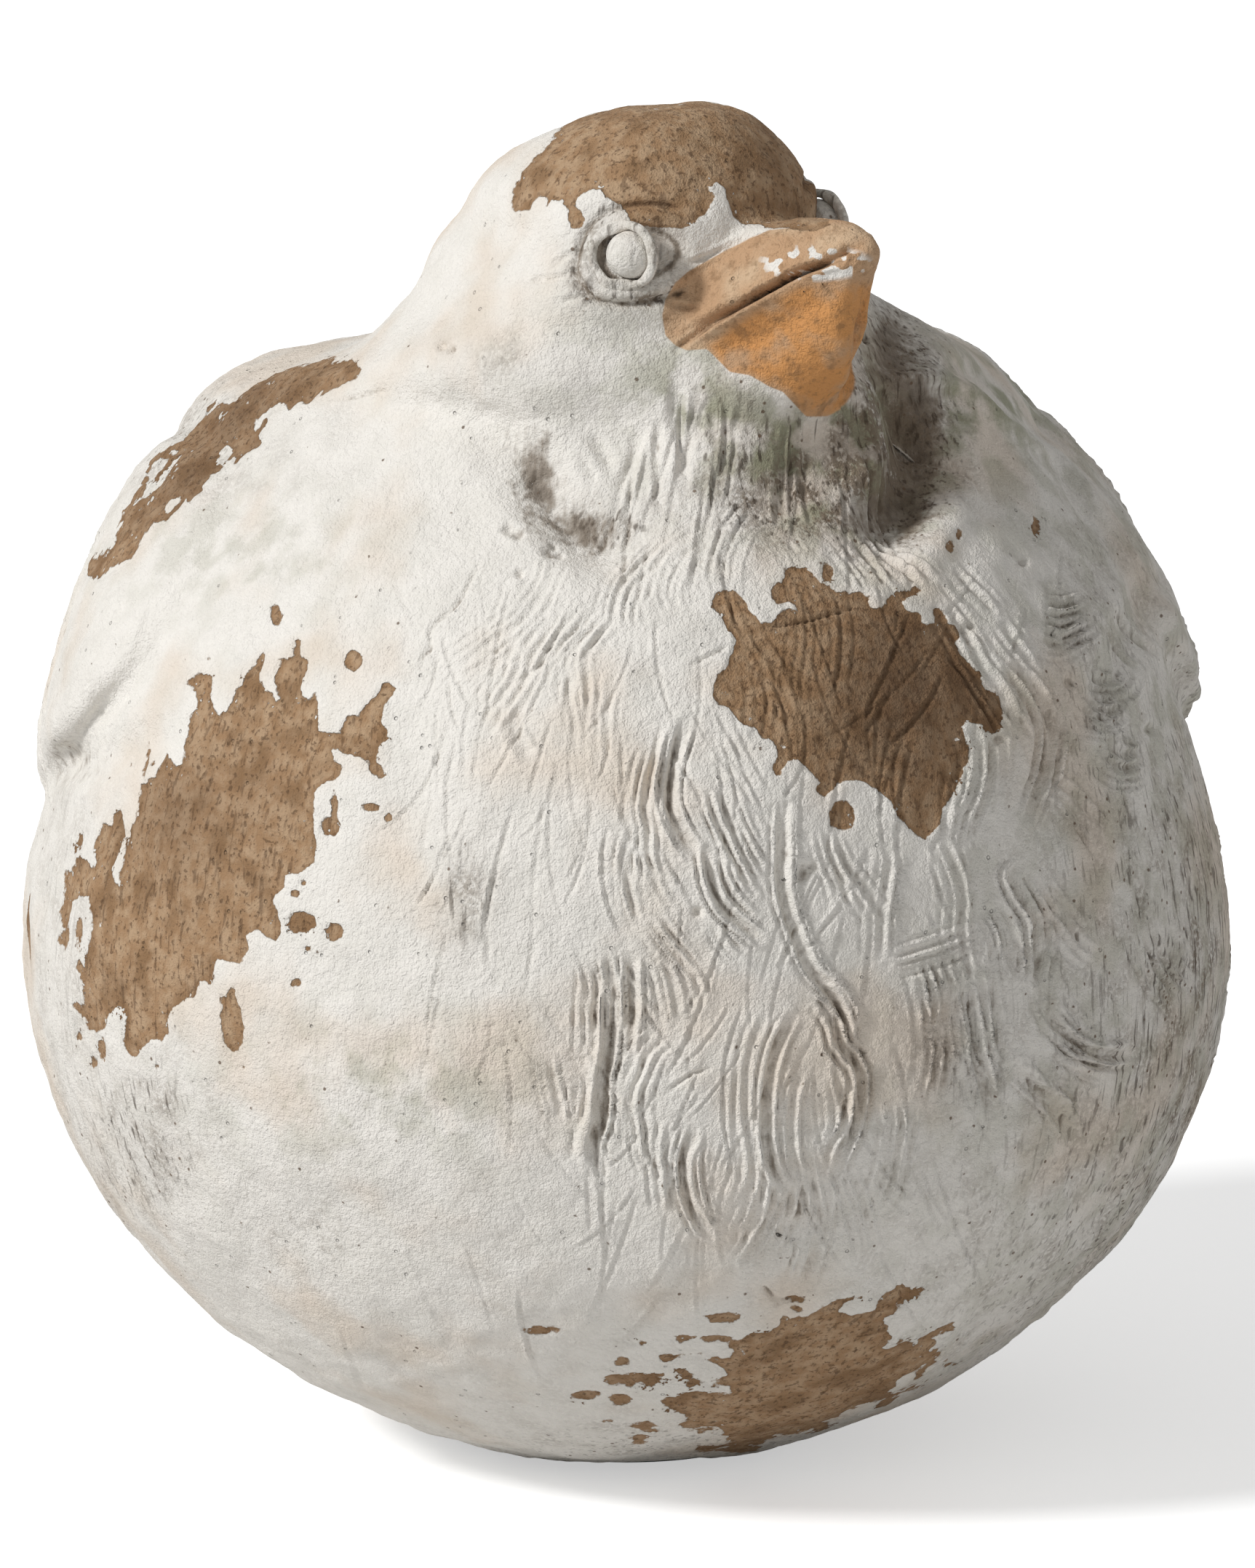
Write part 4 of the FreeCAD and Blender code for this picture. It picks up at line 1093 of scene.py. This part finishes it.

# %% [markdown]
# ## Where dirt and painted shade gather
# The finishes read a few values kept on each point. One is the dust of handling together with painted shade,
# another is the greenish grey of damp with painted grey shade, and the third is how deep a point lies,
# which paints shade and dirt into the folds and grooves. They gather in the folds, round the eyes, along the
# lower right and on the shoulder, so the strongest places are named here with their reach and amount.

# %% Dirt and painted shade
# Dust and painted shade: the strongest places, beside the throat, in the neck folds and along the right edge,
# are painted shade
soil_and_shade_places = [
    ((250, 590), (160, 110), 0.55), ((1500, 1000), (70, 300), 0.35), ((840, 720), (60, 40), 0.9),
    ((1255, 580), (60, 110), 1.1), ((1215, 470), (40, 60), 0.8), ((90, 1250), (50, 330), 0.35),
    ((1120, 660), (130, 80), 2.0), ((1190, 610), (40, 90), 1.4), ((990, 560), (50, 90), 0.5),
    ((200, 1560), (70, 100), 0.8), ((640, 1225), (40, 75), 0.8), ((1600, 1350), (70, 220), 0.4),
    ((700, 500), (90, 40), 0.4), ((1120, 250), (60, 60), 0.5), ((820, 310), (26, 24), 0.7),
    ((1280, 1430), (90, 110), 0.25), ((1640, 1300), (45, 400), 0.45), ((1000, 1990), (350, 40), 0.4)]
# The greenish grey of damp, and painted grey shade beside the throat, under the beak and on the right mantle
damp_and_grey_shade_places = [
    ((1080, 640), (120, 80), 1.1), ((960, 560), (70, 60), 0.6), ((1190, 630), (90, 110), 1.5),
    ((900, 500), (150, 80), 0.4), ((520, 1500), (200, 90), 0.5), ((1340, 560), (130, 70), 0.8),
    ((330, 760), (160, 80), 0.3)]
# Painted shade, with some dirt, in the neck folds, beside the throat and in notches of the outline
crease_shade_places = [
    ((738, 660), (24, 62), 1.5), ((800, 728), (42, 22), 1.4), ((1262, 590), (34, 85), 2.0),
    ((1225, 700), (50, 40), 1.3), ((1222, 470), (25, 55), 1.4), ((1150, 700), (60, 30), 0.4),
    ((88, 1040), (40, 40), 0.4), ((1570, 760), (40, 60), 0.3)]
dark_tan_places = [
    ((1270, 960), (110, 130), 0.75), ((1180, 960), (240, 240), 0.18), ((265, 600), (160, 120), 0.7),
    ((1150, 170), (80, 50), 0.4), ((270, 1120), (100, 90), 0.35)]
front_places = to_picture(points)
seen = soft_step(-0.05, 0.2, skin_normals @ toward_camera)


def near_place(place, reach):
    """How near, from 0 to 1, each point lies to a place in the picture, on the side that shows."""
    away = np.hypot(*((front_places - np.array(place, dtype=float)) / np.array(reach, dtype=float)).T)
    return np.exp(-away**2) * seen


def gathered(base, named_places):
    """A value that rises round the named places in the picture."""
    for place, reach, amount in named_places:
        base = base + amount * near_place(place, reach)
    return base


depth = smooth(height[:, None], edges, 6)[:, 0] - height
crease_shade_and_dirt = np.clip(depth, -1, 2) + 0.45 * np.clip(-tooled, 0, 3) + 0.10 * np.clip(-broad_form, 0, 6)
crease_shade_and_dirt = gathered(crease_shade_and_dirt, crease_shade_places)
# Painted shade: dust and grey rise on the right side, which faces away from the key light, and dust also
# rises towards the bottom and on faces turned away from the camera
rightness = soft_step(0.2, 0.95, (points @ rightward) / (166 * mm))
lowness = 1 - soft_step(0.15, 0.6, points[:, 2] / box_high[2])
behind = soft_step(0.0, 0.8, -(normals @ toward_camera))
soil_and_shade = 0.08 + 0.32 * rightness * lowness + 0.25 * rightness + 0.15 * lowness + 0.12 * behind
soil_and_shade = gathered(soil_and_shade, soil_and_shade_places)
damp_and_grey_shade = gathered(0.06 + 0.35 * rightness, damp_and_grey_shade_places)
dark_tan = gathered(np.zeros(len(points)), dark_tan_places)
# Round each eye: a band of dust with painted shade, and painted shade with dirt in the socket and the crease
for centre, axis in eyes.values():
    near, across = around_eye(centre, axis)
    soil_and_shade = soil_and_shade + near * (1.1 * bell(across, 12.6, 1.7) + 0.5 * np.exp(-(across / 17) ** 4))
    crease_shade_and_dirt = crease_shade_and_dirt + near * (1.9 * bell(across, 7.6, 0.8) + 1.0 * bell(across, 13.0, 0.8))
print("soil up to", round(float(soil_and_shade.max()), 2), "hollow up to", round(float(crease_shade_and_dirt.max()), 2))

# %% [markdown]
# ## Where the colours change
# On the side that shows, the beak and its orange follow the traced outlines. Elsewhere they follow the
# castings, softened. White chalk has caught near the tip. The shoulder and the foot get more ragged patch
# edges.

# %% Colour zones
beak_numbers = [skin_nodes.index(name) for name in ("upper_beak", "lower_beak")]
is_beak, is_lower_beak = np.zeros(len(points)), np.zeros(len(points))
is_beak[np.unique(faces[np.isin(owner, beak_numbers)])] = 1
is_lower_beak[np.unique(faces[owner == beak_numbers[1]])] = 1
soft_beak, soft_lower_beak = smooth(np.column_stack((is_beak, is_lower_beak)), edges, 4).T
traced = soft_step(0.3, 0.6, weight["front"])
on_beak = traced * soft_step(-1.2, 1.2, read_sheet(beak_zone, front_places)) + (1 - traced) * soft_beak
on_beak = on_beak * (1 - soft_step(30, 35, from_axis))
tip_wear = near_place((1120, 362), (80, 26))
on_beak = on_beak - 1.2 * tip_wear * soft_step(-0.1, 0.3, noise(points, 1.8 * mm, 43))
orange = traced * soft_step(-1.5, 2.5, read_sheet(orange_zone, front_places)) + (1 - traced) * soft_lower_beak
orange = orange * soft_step(2, 9, back_along)
ragged_share = near_place((265, 620), (230, 180)) + 0.5 * near_place((1150, 1900), (300, 120))
worn = worn + ragged_share * (4.0 * noise(points, 7 * mm, 41) + 2.6 * noise(points, 2.6 * mm, 42) - 0.6)
values = {"worn": worn, "crease_shade_and_dirt": crease_shade_and_dirt, "soil_and_shade": soil_and_shade, "damp_and_grey_shade": damp_and_grey_shade, "dark_tan": dark_tan, "orange": orange,
          "beak": on_beak}
print({name: (round(float(value.min()), 2), round(float(value.max()), 2)) for name, value in values.items()})

# %% [markdown]
# ## Short names for shader nodes
# The finishes are long sums of noise, so each kind of node gets a short function. Every texture reads the
# object's own coordinates, and sizes are given in millimetres.

# %% Finish helpers
def put(tree, kind, inputs=None, **settings):
    """Add a shader node, with its settings and its inputs, which are values or sockets."""
    made = tree.nodes.new("ShaderNode" + kind)
    for key, value in settings.items():
        setattr(made, key, value)
    for key, value in (inputs or {}).items():
        if isinstance(value, bpy.types.NodeSocket):
            tree.links.new(value, made.inputs[key])
        else:
            made.inputs[key].default_value = value
    return made


def calc(tree, operation, *terms):
    return put(tree, "Math", dict(enumerate(terms)), operation=operation).outputs[0]


def span(tree, value, low, high, top=1.0):
    """Nought below low and top above high, with a soft step between."""
    reach = {"Value": value, "From Min": low, "From Max": high, "To Max": top}
    return put(tree, "MapRange", reach, interpolation_type="SMOOTHSTEP").outputs["Result"]


def product(tree, first, second):
    return calc(tree, "MULTIPLY", first, second)


def swayed(tree, value, texture, gain):
    """A value pushed up and down by a texture whose middle is a half."""
    return calc(tree, "MULTIPLY_ADD", calc(tree, "SUBTRACT", texture, 0.5), gain, value)


def colour(red, green, blue):
    """A colour as it looks on a screen, from 0 to 255, as linear light."""
    shares = [v / 255 for v in (red, green, blue)]
    return (*[v / 12.92 if v <= 0.04045 else ((v + 0.055) / 1.055) ** 2.4 for v in shares], 1.0)


def mix(tree, amount, first, second):
    return put(tree, "Mix", {0: amount, 6: first, 7: second}, data_type="RGBA").outputs[2]


def grain(tree, where, size, detail=2.0, stretch=(1, 1, 1), shift=0.0):
    """Cloudy noise with features of the given size in mm."""
    scale = [s / (size * mm) for s in stretch]
    placed = put(tree, "Mapping", {"Vector": where, "Scale": scale, "Location": (shift, shift, shift)})
    return put(tree, "TexNoise", {"Vector": placed.outputs[0], "Scale": 1.0, "Detail": detail}).outputs["Fac"]


def value_of(tree, name):
    return put(tree, "Attribute", attribute_name=name).outputs["Fac"]


def new_finish(name, roughness):
    """An empty finish: its node tree, its shader and the object's own coordinates."""
    material = bpy.data.materials.new(name)
    material.use_nodes = True
    tree = material.node_tree
    shader = tree.nodes["Principled BSDF"]
    shader.inputs["Roughness"].default_value = roughness
    shader.inputs["Specular IOR Level"].default_value = 0.25
    return material, tree, shader, put(tree, "TexCoord").outputs["Object"]


def add_bump(tree, shader, height, distance=1.0):
    """Bump from a height in mm."""
    made = put(tree, "Bump", {"Height": height, "Distance": distance * mm, "Strength": 1.0})
    tree.links.new(made.outputs[0], shader.inputs["Normal"])


print("shader helpers ready")

# %% [markdown]
# ## The distressed chalk coat
# The coat is whiting bound with glue: dead matt, slightly uneven in tone, with pinholes, specks of dust and
# fine brush lines. Under it lies tan plaster, grainy and blotched. One finish shows both: where the worn
# value is above nothing, the coat is gone, and a small step in the bump stands for its thickness.

# %% Chalk finish
chalk_white, cream, grey_green = colour(236, 232, 225), colour(224, 209, 192), colour(160, 160, 136)
# The grime colours paint shade in folds and on the shaded side, as well as dirt
grime_and_shade, dark_grime_and_shade, speck_brown = colour(122, 108, 92), colour(72, 60, 48), colour(104, 84, 66)
tan, light_tan = colour(160, 128, 96), colour(178, 150, 120)
brown, dark_brown = colour(132, 102, 72), colour(78, 56, 38)
beak_orange, beak_tan, beak_pale = colour(206, 148, 92), colour(190, 154, 120), colour(214, 190, 160)


def chalk_finish():
    material, tree, shader, where = new_finish("distressed_chalk", 0.92)
    worn_value, crease_shade_value = value_of(tree, "worn"), value_of(tree, "crease_shade_and_dirt")
    soil_and_shade_value, damp_and_grey_shade_value = value_of(tree, "soil_and_shade"), value_of(tree, "damp_and_grey_shade")
    broad, medium = grain(tree, where, 45, 3), grain(tree, where, 12, 4, shift=3)
    small, fine = grain(tree, where, 4, 4, shift=7), grain(tree, where, 1.3, 3, shift=11)
    finest = grain(tree, where, 0.5, 2, shift=13)
    lines = grain(tree, where, 1.6, 3, stretch=(1, 1, 0.09), shift=5)

    # Where the coat is gone: frayed patches, flakes near them, and bits of coat left inside
    ragged = swayed(tree, swayed(tree, worn_value, small, 2.2), fine, 1.2)
    flakes = swayed(tree, swayed(tree, worn_value, medium, 10.0), fine, 9.0)
    near_flakes = product(tree, span(tree, flakes, 1.6, 2.0), span(tree, worn_value, -14, -1))
    bits = span(tree, grain(tree, where, 2.2, 3, shift=17), 0.66, 0.70)
    left_bits = product(tree, bits, span(tree, worn_value, 7, 0.5))
    gone = calc(tree, "SUBTRACT", span(tree, ragged, -0.12, 0.22), left_bits)
    gone = calc(tree, "MAXIMUM", gone, near_flakes)

    # The white coat: cream clouds, damp green-grey with painted grey shade, painted shade and dirt in
    # hollows, smudges of dust with painted shade, streaks and specks
    coat = mix(tree, span(tree, broad, 0.46, 0.68, 0.7), chalk_white, cream)
    # Grey-green of damp together with painted grey shade on the right side and beside the throat
    coat = mix(tree, product(tree, damp_and_grey_shade_value, span(tree, medium, 0.42, 0.62, 0.9)), coat, grey_green)
    # Painted shade: folds and grooves take grime colour by their depth, standing for shade as well as dirt
    ragged_crease_shade = swayed(tree, swayed(tree, crease_shade_value, small, 2.6), lines, 1.6)
    in_crease_shade = span(tree, crease_shade_value, 0.12, 0.5)
    crease_shade_and_grime = calc(tree, "MINIMUM", in_crease_shade, span(tree, ragged_crease_shade, 0.2, 1.6, 0.8))
    coat = mix(tree, crease_shade_and_grime, coat, grime_and_shade)
    coat = mix(tree, span(tree, ragged_crease_shade, 1.3, 2.6, 0.75), coat, dark_grime_and_shade)
    clouds = span(tree, grain(tree, where, 9, 6, shift=19), 0.34, 0.74)
    speckled = product(tree, clouds, span(tree, fine, 0.34, 0.56))
    # Smudges of dust that also carry painted shade on the right, low down and beside the throat
    smudge_and_shade = product(tree, soil_and_shade_value, calc(tree, "MULTIPLY_ADD", speckled, 0.9, 0.2))
    coat = mix(tree, calc(tree, "MINIMUM", product(tree, smudge_and_shade, 0.68), 0.9), coat, grime_and_shade)
    streak = product(tree, span(tree, lines, 0.54, 0.68), span(tree, soil_and_shade_value, 0.22, 0.9))
    coat = mix(tree, product(tree, streak, 0.75), coat, dark_grime_and_shade)
    cells = put(tree, "TexVoronoi", {"Vector": where, "Scale": 1 / (4.6 * mm)})
    dusty = span(tree, calc(tree, "MULTIPLY_ADD", soil_and_shade_value, 0.30, small), 0.62, 0.68)
    dot = product(tree, span(tree, cells.outputs["Distance"], 0.15, 0.07), dusty)
    coat = mix(tree, product(tree, dot, 0.85), coat, speck_brown)

    # The bare plaster: blotches, dark grains and brush lines, painted shade in the hollows, darkest beside
    # the coat
    plaster = mix(tree, span(tree, small, 0.36, 0.64), tan, light_tan)
    plaster = mix(tree, span(tree, medium, 0.48, 0.66, 0.8), plaster, brown)
    darkened = product(tree, value_of(tree, "dark_tan"), span(tree, broad, 0.2, 0.6))
    plaster = mix(tree, darkened, plaster, dark_brown)
    plaster = mix(tree, span(tree, fine, 0.56, 0.66, 0.6), plaster, dark_brown)
    plaster = mix(tree, span(tree, lines, 0.56, 0.68, 0.5), plaster, dark_brown)
    plaster = mix(tree, span(tree, crease_shade_value, 0.2, 1.0, 0.7), plaster, dark_brown)
    plaster = mix(tree, product(tree, span(tree, ragged, 1.6, 0.2), 0.45), plaster, brown)

    # The beak's own coat: tan with an orange lower half, browned in grains and blotches
    beak_coat = mix(tree, span(tree, medium, 0.38, 0.70, 0.6), beak_tan, beak_pale)
    orange_share = product(tree, value_of(tree, "orange"), span(tree, medium, 0.30, 0.52))
    beak_coat = mix(tree, orange_share, beak_coat, beak_orange)
    beak_coat = mix(tree, span(tree, fine, 0.56, 0.70, 0.4), beak_coat, brown)
    beak_coat = mix(tree, span(tree, small, 0.54, 0.70, 0.5), beak_coat, brown)
    # Painted shade and dirt in the beak's hollows
    beak_coat = mix(tree, crease_shade_and_grime, beak_coat, dark_grime_and_shade)
    coat = mix(tree, span(tree, value_of(tree, "beak"), 0.35, 0.65), coat, beak_coat)
    tree.links.new(mix(tree, gone, coat, plaster), shader.inputs["Base Color"])

    relief_height = product(tree, gone, -0.45)
    for layer, amount in ((small, 0.7), (fine, 0.62), (finest, 0.42), (lines, 0.18)):
        relief_height = calc(tree, "MULTIPLY_ADD", layer, amount, relief_height)
    pin = put(tree, "TexVoronoi", {"Vector": where, "Scale": 1 / (5.5 * mm)}).outputs["Distance"]
    pinhole = product(tree, span(tree, pin, 0.12, 0.05), span(tree, medium, 0.5, 0.56))
    add_bump(tree, shader, calc(tree, "MULTIPLY_ADD", pinhole, -0.8, relief_height))
    return material


chalk = chalk_finish()
print("chalk finish has", len(chalk.node_tree.nodes), "nodes")

# %% [markdown]
# ## The plain finishes
# Bare plaster, felt, woven scrim and drawn steel wire dress the parts that are seen only from below or when
# the casting is opened.

# %% Plain finishes
def plain_plaster_finish():
    material, tree, shader, where = new_finish("bare_plaster", 0.9)
    small, fine = grain(tree, where, 5, 4), grain(tree, where, 1.2, 3, shift=2)
    tree.links.new(mix(tree, small, light_tan, cream), shader.inputs["Base Color"])
    add_bump(tree, shader, calc(tree, "MULTIPLY_ADD", fine, 0.4, small))
    return material


def felt_finish():
    material, tree, shader, where = new_finish("felt", 1.0)
    small, fibres = grain(tree, where, 3, 4), grain(tree, where, 0.6, 5, shift=4)
    tree.links.new(mix(tree, fibres, colour(58, 72, 58), colour(92, 106, 88)), shader.inputs["Base Color"])
    shader.inputs["Sheen Weight"].default_value = 0.4
    add_bump(tree, shader, calc(tree, "MULTIPLY_ADD", fibres, 0.5, small), 0.6)
    return material


def scrim_finish():
    material, tree, shader, where = new_finish("plastered_scrim", 0.95)
    warp = put(tree, "TexWave", {"Vector": where, "Scale": 110.0, "Distortion": 1.5}, bands_direction="X")
    weft = put(tree, "TexWave", {"Vector": where, "Scale": 110.0, "Distortion": 1.5}, bands_direction="Z")
    weave = calc(tree, "MAXIMUM", warp.outputs["Fac"], weft.outputs["Fac"])
    woven = mix(tree, weave, colour(206, 190, 160), colour(226, 220, 206))
    tree.links.new(woven, shader.inputs["Base Color"])
    add_bump(tree, shader, weave, 0.5)
    return material


def steel_finish():
    material, tree, shader, where = new_finish("drawn_steel", 0.35)
    shader.inputs["Metallic"].default_value = 1.0
    drawn = grain(tree, where, 0.8, 3, stretch=(1, 1, 0.1))
    wire = mix(tree, drawn, colour(150, 150, 150), colour(186, 186, 184))
    tree.links.new(wire, shader.inputs["Base Color"])
    add_bump(tree, shader, drawn, 0.05)
    return material


bare_plaster, felt, scrim, steel = plain_plaster_finish(), felt_finish(), scrim_finish(), steel_finish()
print("finishes", [m.name for m in bpy.data.materials])

# %% [markdown]
# ## Cut the skin into its castings
# The skin goes back to the castings that it covers, so each piece stands for its own CAD node. Large pieces
# are cut into sectors to keep each one light. Each cut turns 4 mm inward before it closes in a fan, so that
# it can't show in a crease, and each piece takes its shading from the whole skin, so that no cut shows.

# %% Pieces of skin
piece_limit, closing_depth = 180000, 4 * mm
body_middle, head_middle = np.array((0, 0, 150)) * mm, np.array((4, -58, 335)) * mm
back_number, head_number, plug_number = map(skin_nodes.index, ("back_shell", "head_shell", "base_plug"))
eyeball_numbers = [skin_nodes.index(side + "_eyeball") for side in eyes]
owner[np.isin(owner, eyeball_numbers)] = head_number
owner[owner == plug_number] = back_number


def dress(obj, point_values, finish, node):
    """Give a piece its finish values and its finish, hang it on the root, and hide the casting of its node.
    """
    mesh = obj.data
    for key, value in point_values.items():
        layer = mesh.attributes.new(key, "FLOAT", "POINT")
        layer.data.foreach_set("value", np.broadcast_to(value, len(mesh.vertices)).astype(np.float32))
    mesh.polygons.foreach_set("use_smooth", np.ones(len(mesh.polygons), dtype=bool))
    mesh.materials.append(finish)
    scene.collection.objects.link(obj)
    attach(obj, "root")
    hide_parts(node)


def skin_piece(name, chosen, node):
    """A closed piece from the chosen faces of the skin."""
    used, local = np.unique(faces[chosen], return_inverse=True)
    local = local.reshape(-1, 3)
    sides = local[:, [0, 1, 1, 2, 2, 0]].reshape(-1, 2)
    keys = np.sort(sides, axis=1)
    first, count = np.unique(keys[:, 0] * len(used) + keys[:, 1], return_index=True, return_counts=True)[1:]
    border = sides[first[count == 1]]
    rim = np.unique(border)
    behind_rim = np.full(len(used), -1)
    behind_rim[rim] = len(used) + np.arange(len(rim))
    edge = used[rim]
    apex = head_middle if "head" in name or "beak" in name else body_middle
    inner_rim = points[edge] - skin_normals[edge] * closing_depth
    own_points = np.concatenate((points[used], inner_rim, apex[None]))
    a, b = border.T
    c, d = behind_rim[a], behind_rim[b]
    fan = np.column_stack((d, c, np.full(len(c), len(own_points) - 1)))
    closing = np.concatenate((np.column_stack((b, a, c)), np.column_stack((b, c, d)), fan))
    mesh = make_mesh(name, own_points, np.concatenate((local, closing)))
    piece_values = {key: np.concatenate((value[used], value[edge], [0])) for key, value in values.items()}
    dress(bpy.data.objects.new(name, mesh), piece_values, chalk, node)
    shading = np.concatenate((skin_normals[used], -skin_normals[edge], [(0, 0, 1)]))
    mesh.normals_split_custom_set_from_vertices(shading.tolist())


front_nodes = ("breast_shell", "head_shell")
for number, node in enumerate(skin_nodes[:plug_number]):
    mine = np.flatnonzero(owner == number)
    x, y = points[faces[mine]].mean(axis=1)[:, :2].T
    angle = np.arctan2(x, -y if node in front_nodes else y)
    sectors = np.array_split(np.argsort(angle, kind="stable"), math.ceil(len(mine) / piece_limit))
    for part, rows in enumerate(sectors):
        skin_piece(f"{node}_skin_{part + 1}", mine[rows], node)
    print(node, len(mine), "triangles in", len(sectors), "pieces")

# %% [markdown]
# ## Eyes and rolled lids
# Each eye is a small domed casting pressed into its socket, and a roll of coat is drawn round it with a wet
# finger. The lid is a ring that is longer than it is high and lies on the sculpted skin all round.

# %% Eyes
dome_reach, dome_squash, dome_root = 6.9 * mm, 0.93, 4.2 * mm
lid_length, lid_height, roll_out, roll_up = 8.7 * mm, 7.9 * mm, 1.45 * mm, 1.25 * mm
skin_tree = BVHTree.FromPolygons(points.tolist(), faces.tolist())
flat_values = {"worn": far_outside, "damp_and_grey_shade": 0.2, "dark_tan": 0.0, "orange": 0.0, "beak": 0.0}


def rings_mesh(name, rings, first, last):
    """A closed mesh through rings of points, with a point at each end."""
    count, around = len(rings), len(rings[0])
    rows = np.arange(around)
    following = (rows + 1) % around
    made_faces = [np.column_stack((np.full(around, count * around), following, rows))]
    for i in range(count - 1):
        a, b = i * around + rows, i * around + following
        made_faces += [np.column_stack((a, b, b + around)), np.column_stack((a, b + around, a + around))]
    end = (count - 1) * around
    made_faces.append(np.column_stack((np.full(around, count * around + 1), end + rows, end + following)))
    return make_mesh(name, np.concatenate((*rings, [first], [last])), np.concatenate(made_faces))


def eye_axes(axis):
    """Two directions across an eye's axis: forward along the head, and up."""
    up = unit(np.array((0, 0, 1)) - axis * axis[2])
    return np.cross(up, axis), up


def eye_dome(name, centre, axis):
    across, up = eye_axes(axis)
    turns = np.linspace(0, 2 * math.pi, 64, endpoint=False)
    circle = np.outer(np.cos(turns), across) + dome_squash * np.outer(np.sin(turns), up)
    rings = []
    for lift in np.linspace(-0.5, 1.45, 26):
        ring = centre + axis * dome_reach * math.sin(lift) + circle * dome_reach * math.cos(lift)
        rings.append(ring + axis * (0.10 * mm * noise(ring, 2.5 * mm, 21))[:, None])
    mesh = rings_mesh(name, rings, centre - axis * dome_root, centre + axis * dome_reach)
    return bpy.data.objects.new(name, mesh)


def lid_ring(name, centre, axis):
    """A roll round the eye that follows the skin."""
    across, up = eye_axes(axis)
    around, tube = 120, 18
    lowest, highest = 1.0 * mm, 6.2 * mm
    grid = []
    for turn in 2 * math.pi * np.arange(around) / around:
        way = across * math.cos(turn) * lid_length + up * math.sin(turn) * lid_height
        hit = skin_tree.ray_cast(Vector(centre + way + axis * 30 * mm), Vector(-axis))[0]
        lift = (np.array(hit) - centre) @ axis if hit is not None else 3 * mm
        middle = centre + way + axis * (np.clip(lift, lowest, highest) + 0.1 * mm)
        wobble = 1 + 0.16 * math.sin(3 * turn + 1) + 0.10 * math.sin(7 * turn)
        for roll in 2 * math.pi * np.arange(tube) / tube:
            outward = unit(way) * math.cos(roll) * roll_out * wobble
            grid.append(middle + outward + axis * math.sin(roll) * roll_up)
    rows, columns = np.divmod(np.arange(around * tube), tube)
    ahead_row, ahead_column = (rows + 1) % around, (columns + 1) % tube
    a, b = rows * tube + columns, ahead_row * tube + columns
    c, d = ahead_row * tube + ahead_column, rows * tube + ahead_column
    ring_faces = np.concatenate((np.column_stack((a, b, c)), np.column_stack((a, c, d))))
    grid = np.array(grid)
    grid = grid + 0.18 * mm * noise(grid, 2 * mm, 22)[:, None] * axis
    if ((grid - grid.mean(axis=0)) * normals_of(grid, ring_faces)).sum() < 0:
        ring_faces = ring_faces[:, ::-1]
    return bpy.data.objects.new(name, make_mesh(name, grid, ring_faces))


for name, (centre, axis) in eyes.items():
    # The eyeball and the lids get painted shade along with dust, so they read darker than the coat round them
    dome_values = {**flat_values, "crease_shade_and_dirt": 0.12, "soil_and_shade": 0.45}
    lid_values = {**flat_values, "crease_shade_and_dirt": 0.25, "soil_and_shade": 0.7}
    dress(eye_dome(name + "_eye", centre, axis), dome_values, chalk, name + "_eyeball")
    dress(lid_ring(name + "_lids", centre, axis), lid_values, chalk, name + "_eyelids")
print("eyes dressed", list(eyes))

# %% [markdown]
# ## Felt base
# The felt is a die-cut disc with a soft fibrous edge that bulges a little halfway up.

# %% Felt base
felt_low, felt_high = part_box("felt_base")
felt_reach, felt_rise = felt_high[0], felt_high[2] - felt_low[2]
turns = np.linspace(0, 2 * math.pi, 240, endpoint=False)


def felt_ring(reach, lift):
    level = np.full(len(turns), felt_rise * lift)
    return np.column_stack((np.cos(turns) * reach, np.sin(turns) * reach, level))


fibres = 0.25 * mm * noise(felt_ring(felt_reach, 0), 1.2 * mm, 31)
rings = [felt_ring(felt_reach * share, 0) for share in (0.25, 0.5, 0.75, 0.9, 0.97)]
for lift in (0.12, 0.35, 0.65, 0.88):
    rings.append(felt_ring(felt_reach - 0.35 * mm - 0.5 * mm * (2 * lift - 1) ** 2 + fibres, lift))
rings += [felt_ring(felt_reach * share, 1) for share in (0.97, 0.9, 0.7, 0.4)]
felt_mesh = rings_mesh("felt_disc", rings, np.zeros(3), np.array((0, 0, felt_rise)))
dress(bpy.data.objects.new("felt_disc", felt_mesh), {}, felt, "felt_base")
print("felt is", round(2 * felt_reach / mm), "mm wide and", round(felt_rise / mm, 1), "mm thick")

# %% [markdown]
# ## The hidden parts
# The pins, the woven binding and the base plug stay as cast, and only take their finishes.

# %% Hidden parts
for name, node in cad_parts.items():
    if name.endswith("scrim"):
        finish = scrim
    elif "pin" in name:
        finish = steel
    elif name == "base_plug":
        finish = bare_plaster
    else:
        finish = chalk
    for place in node.material_slots:
        place.material = finish
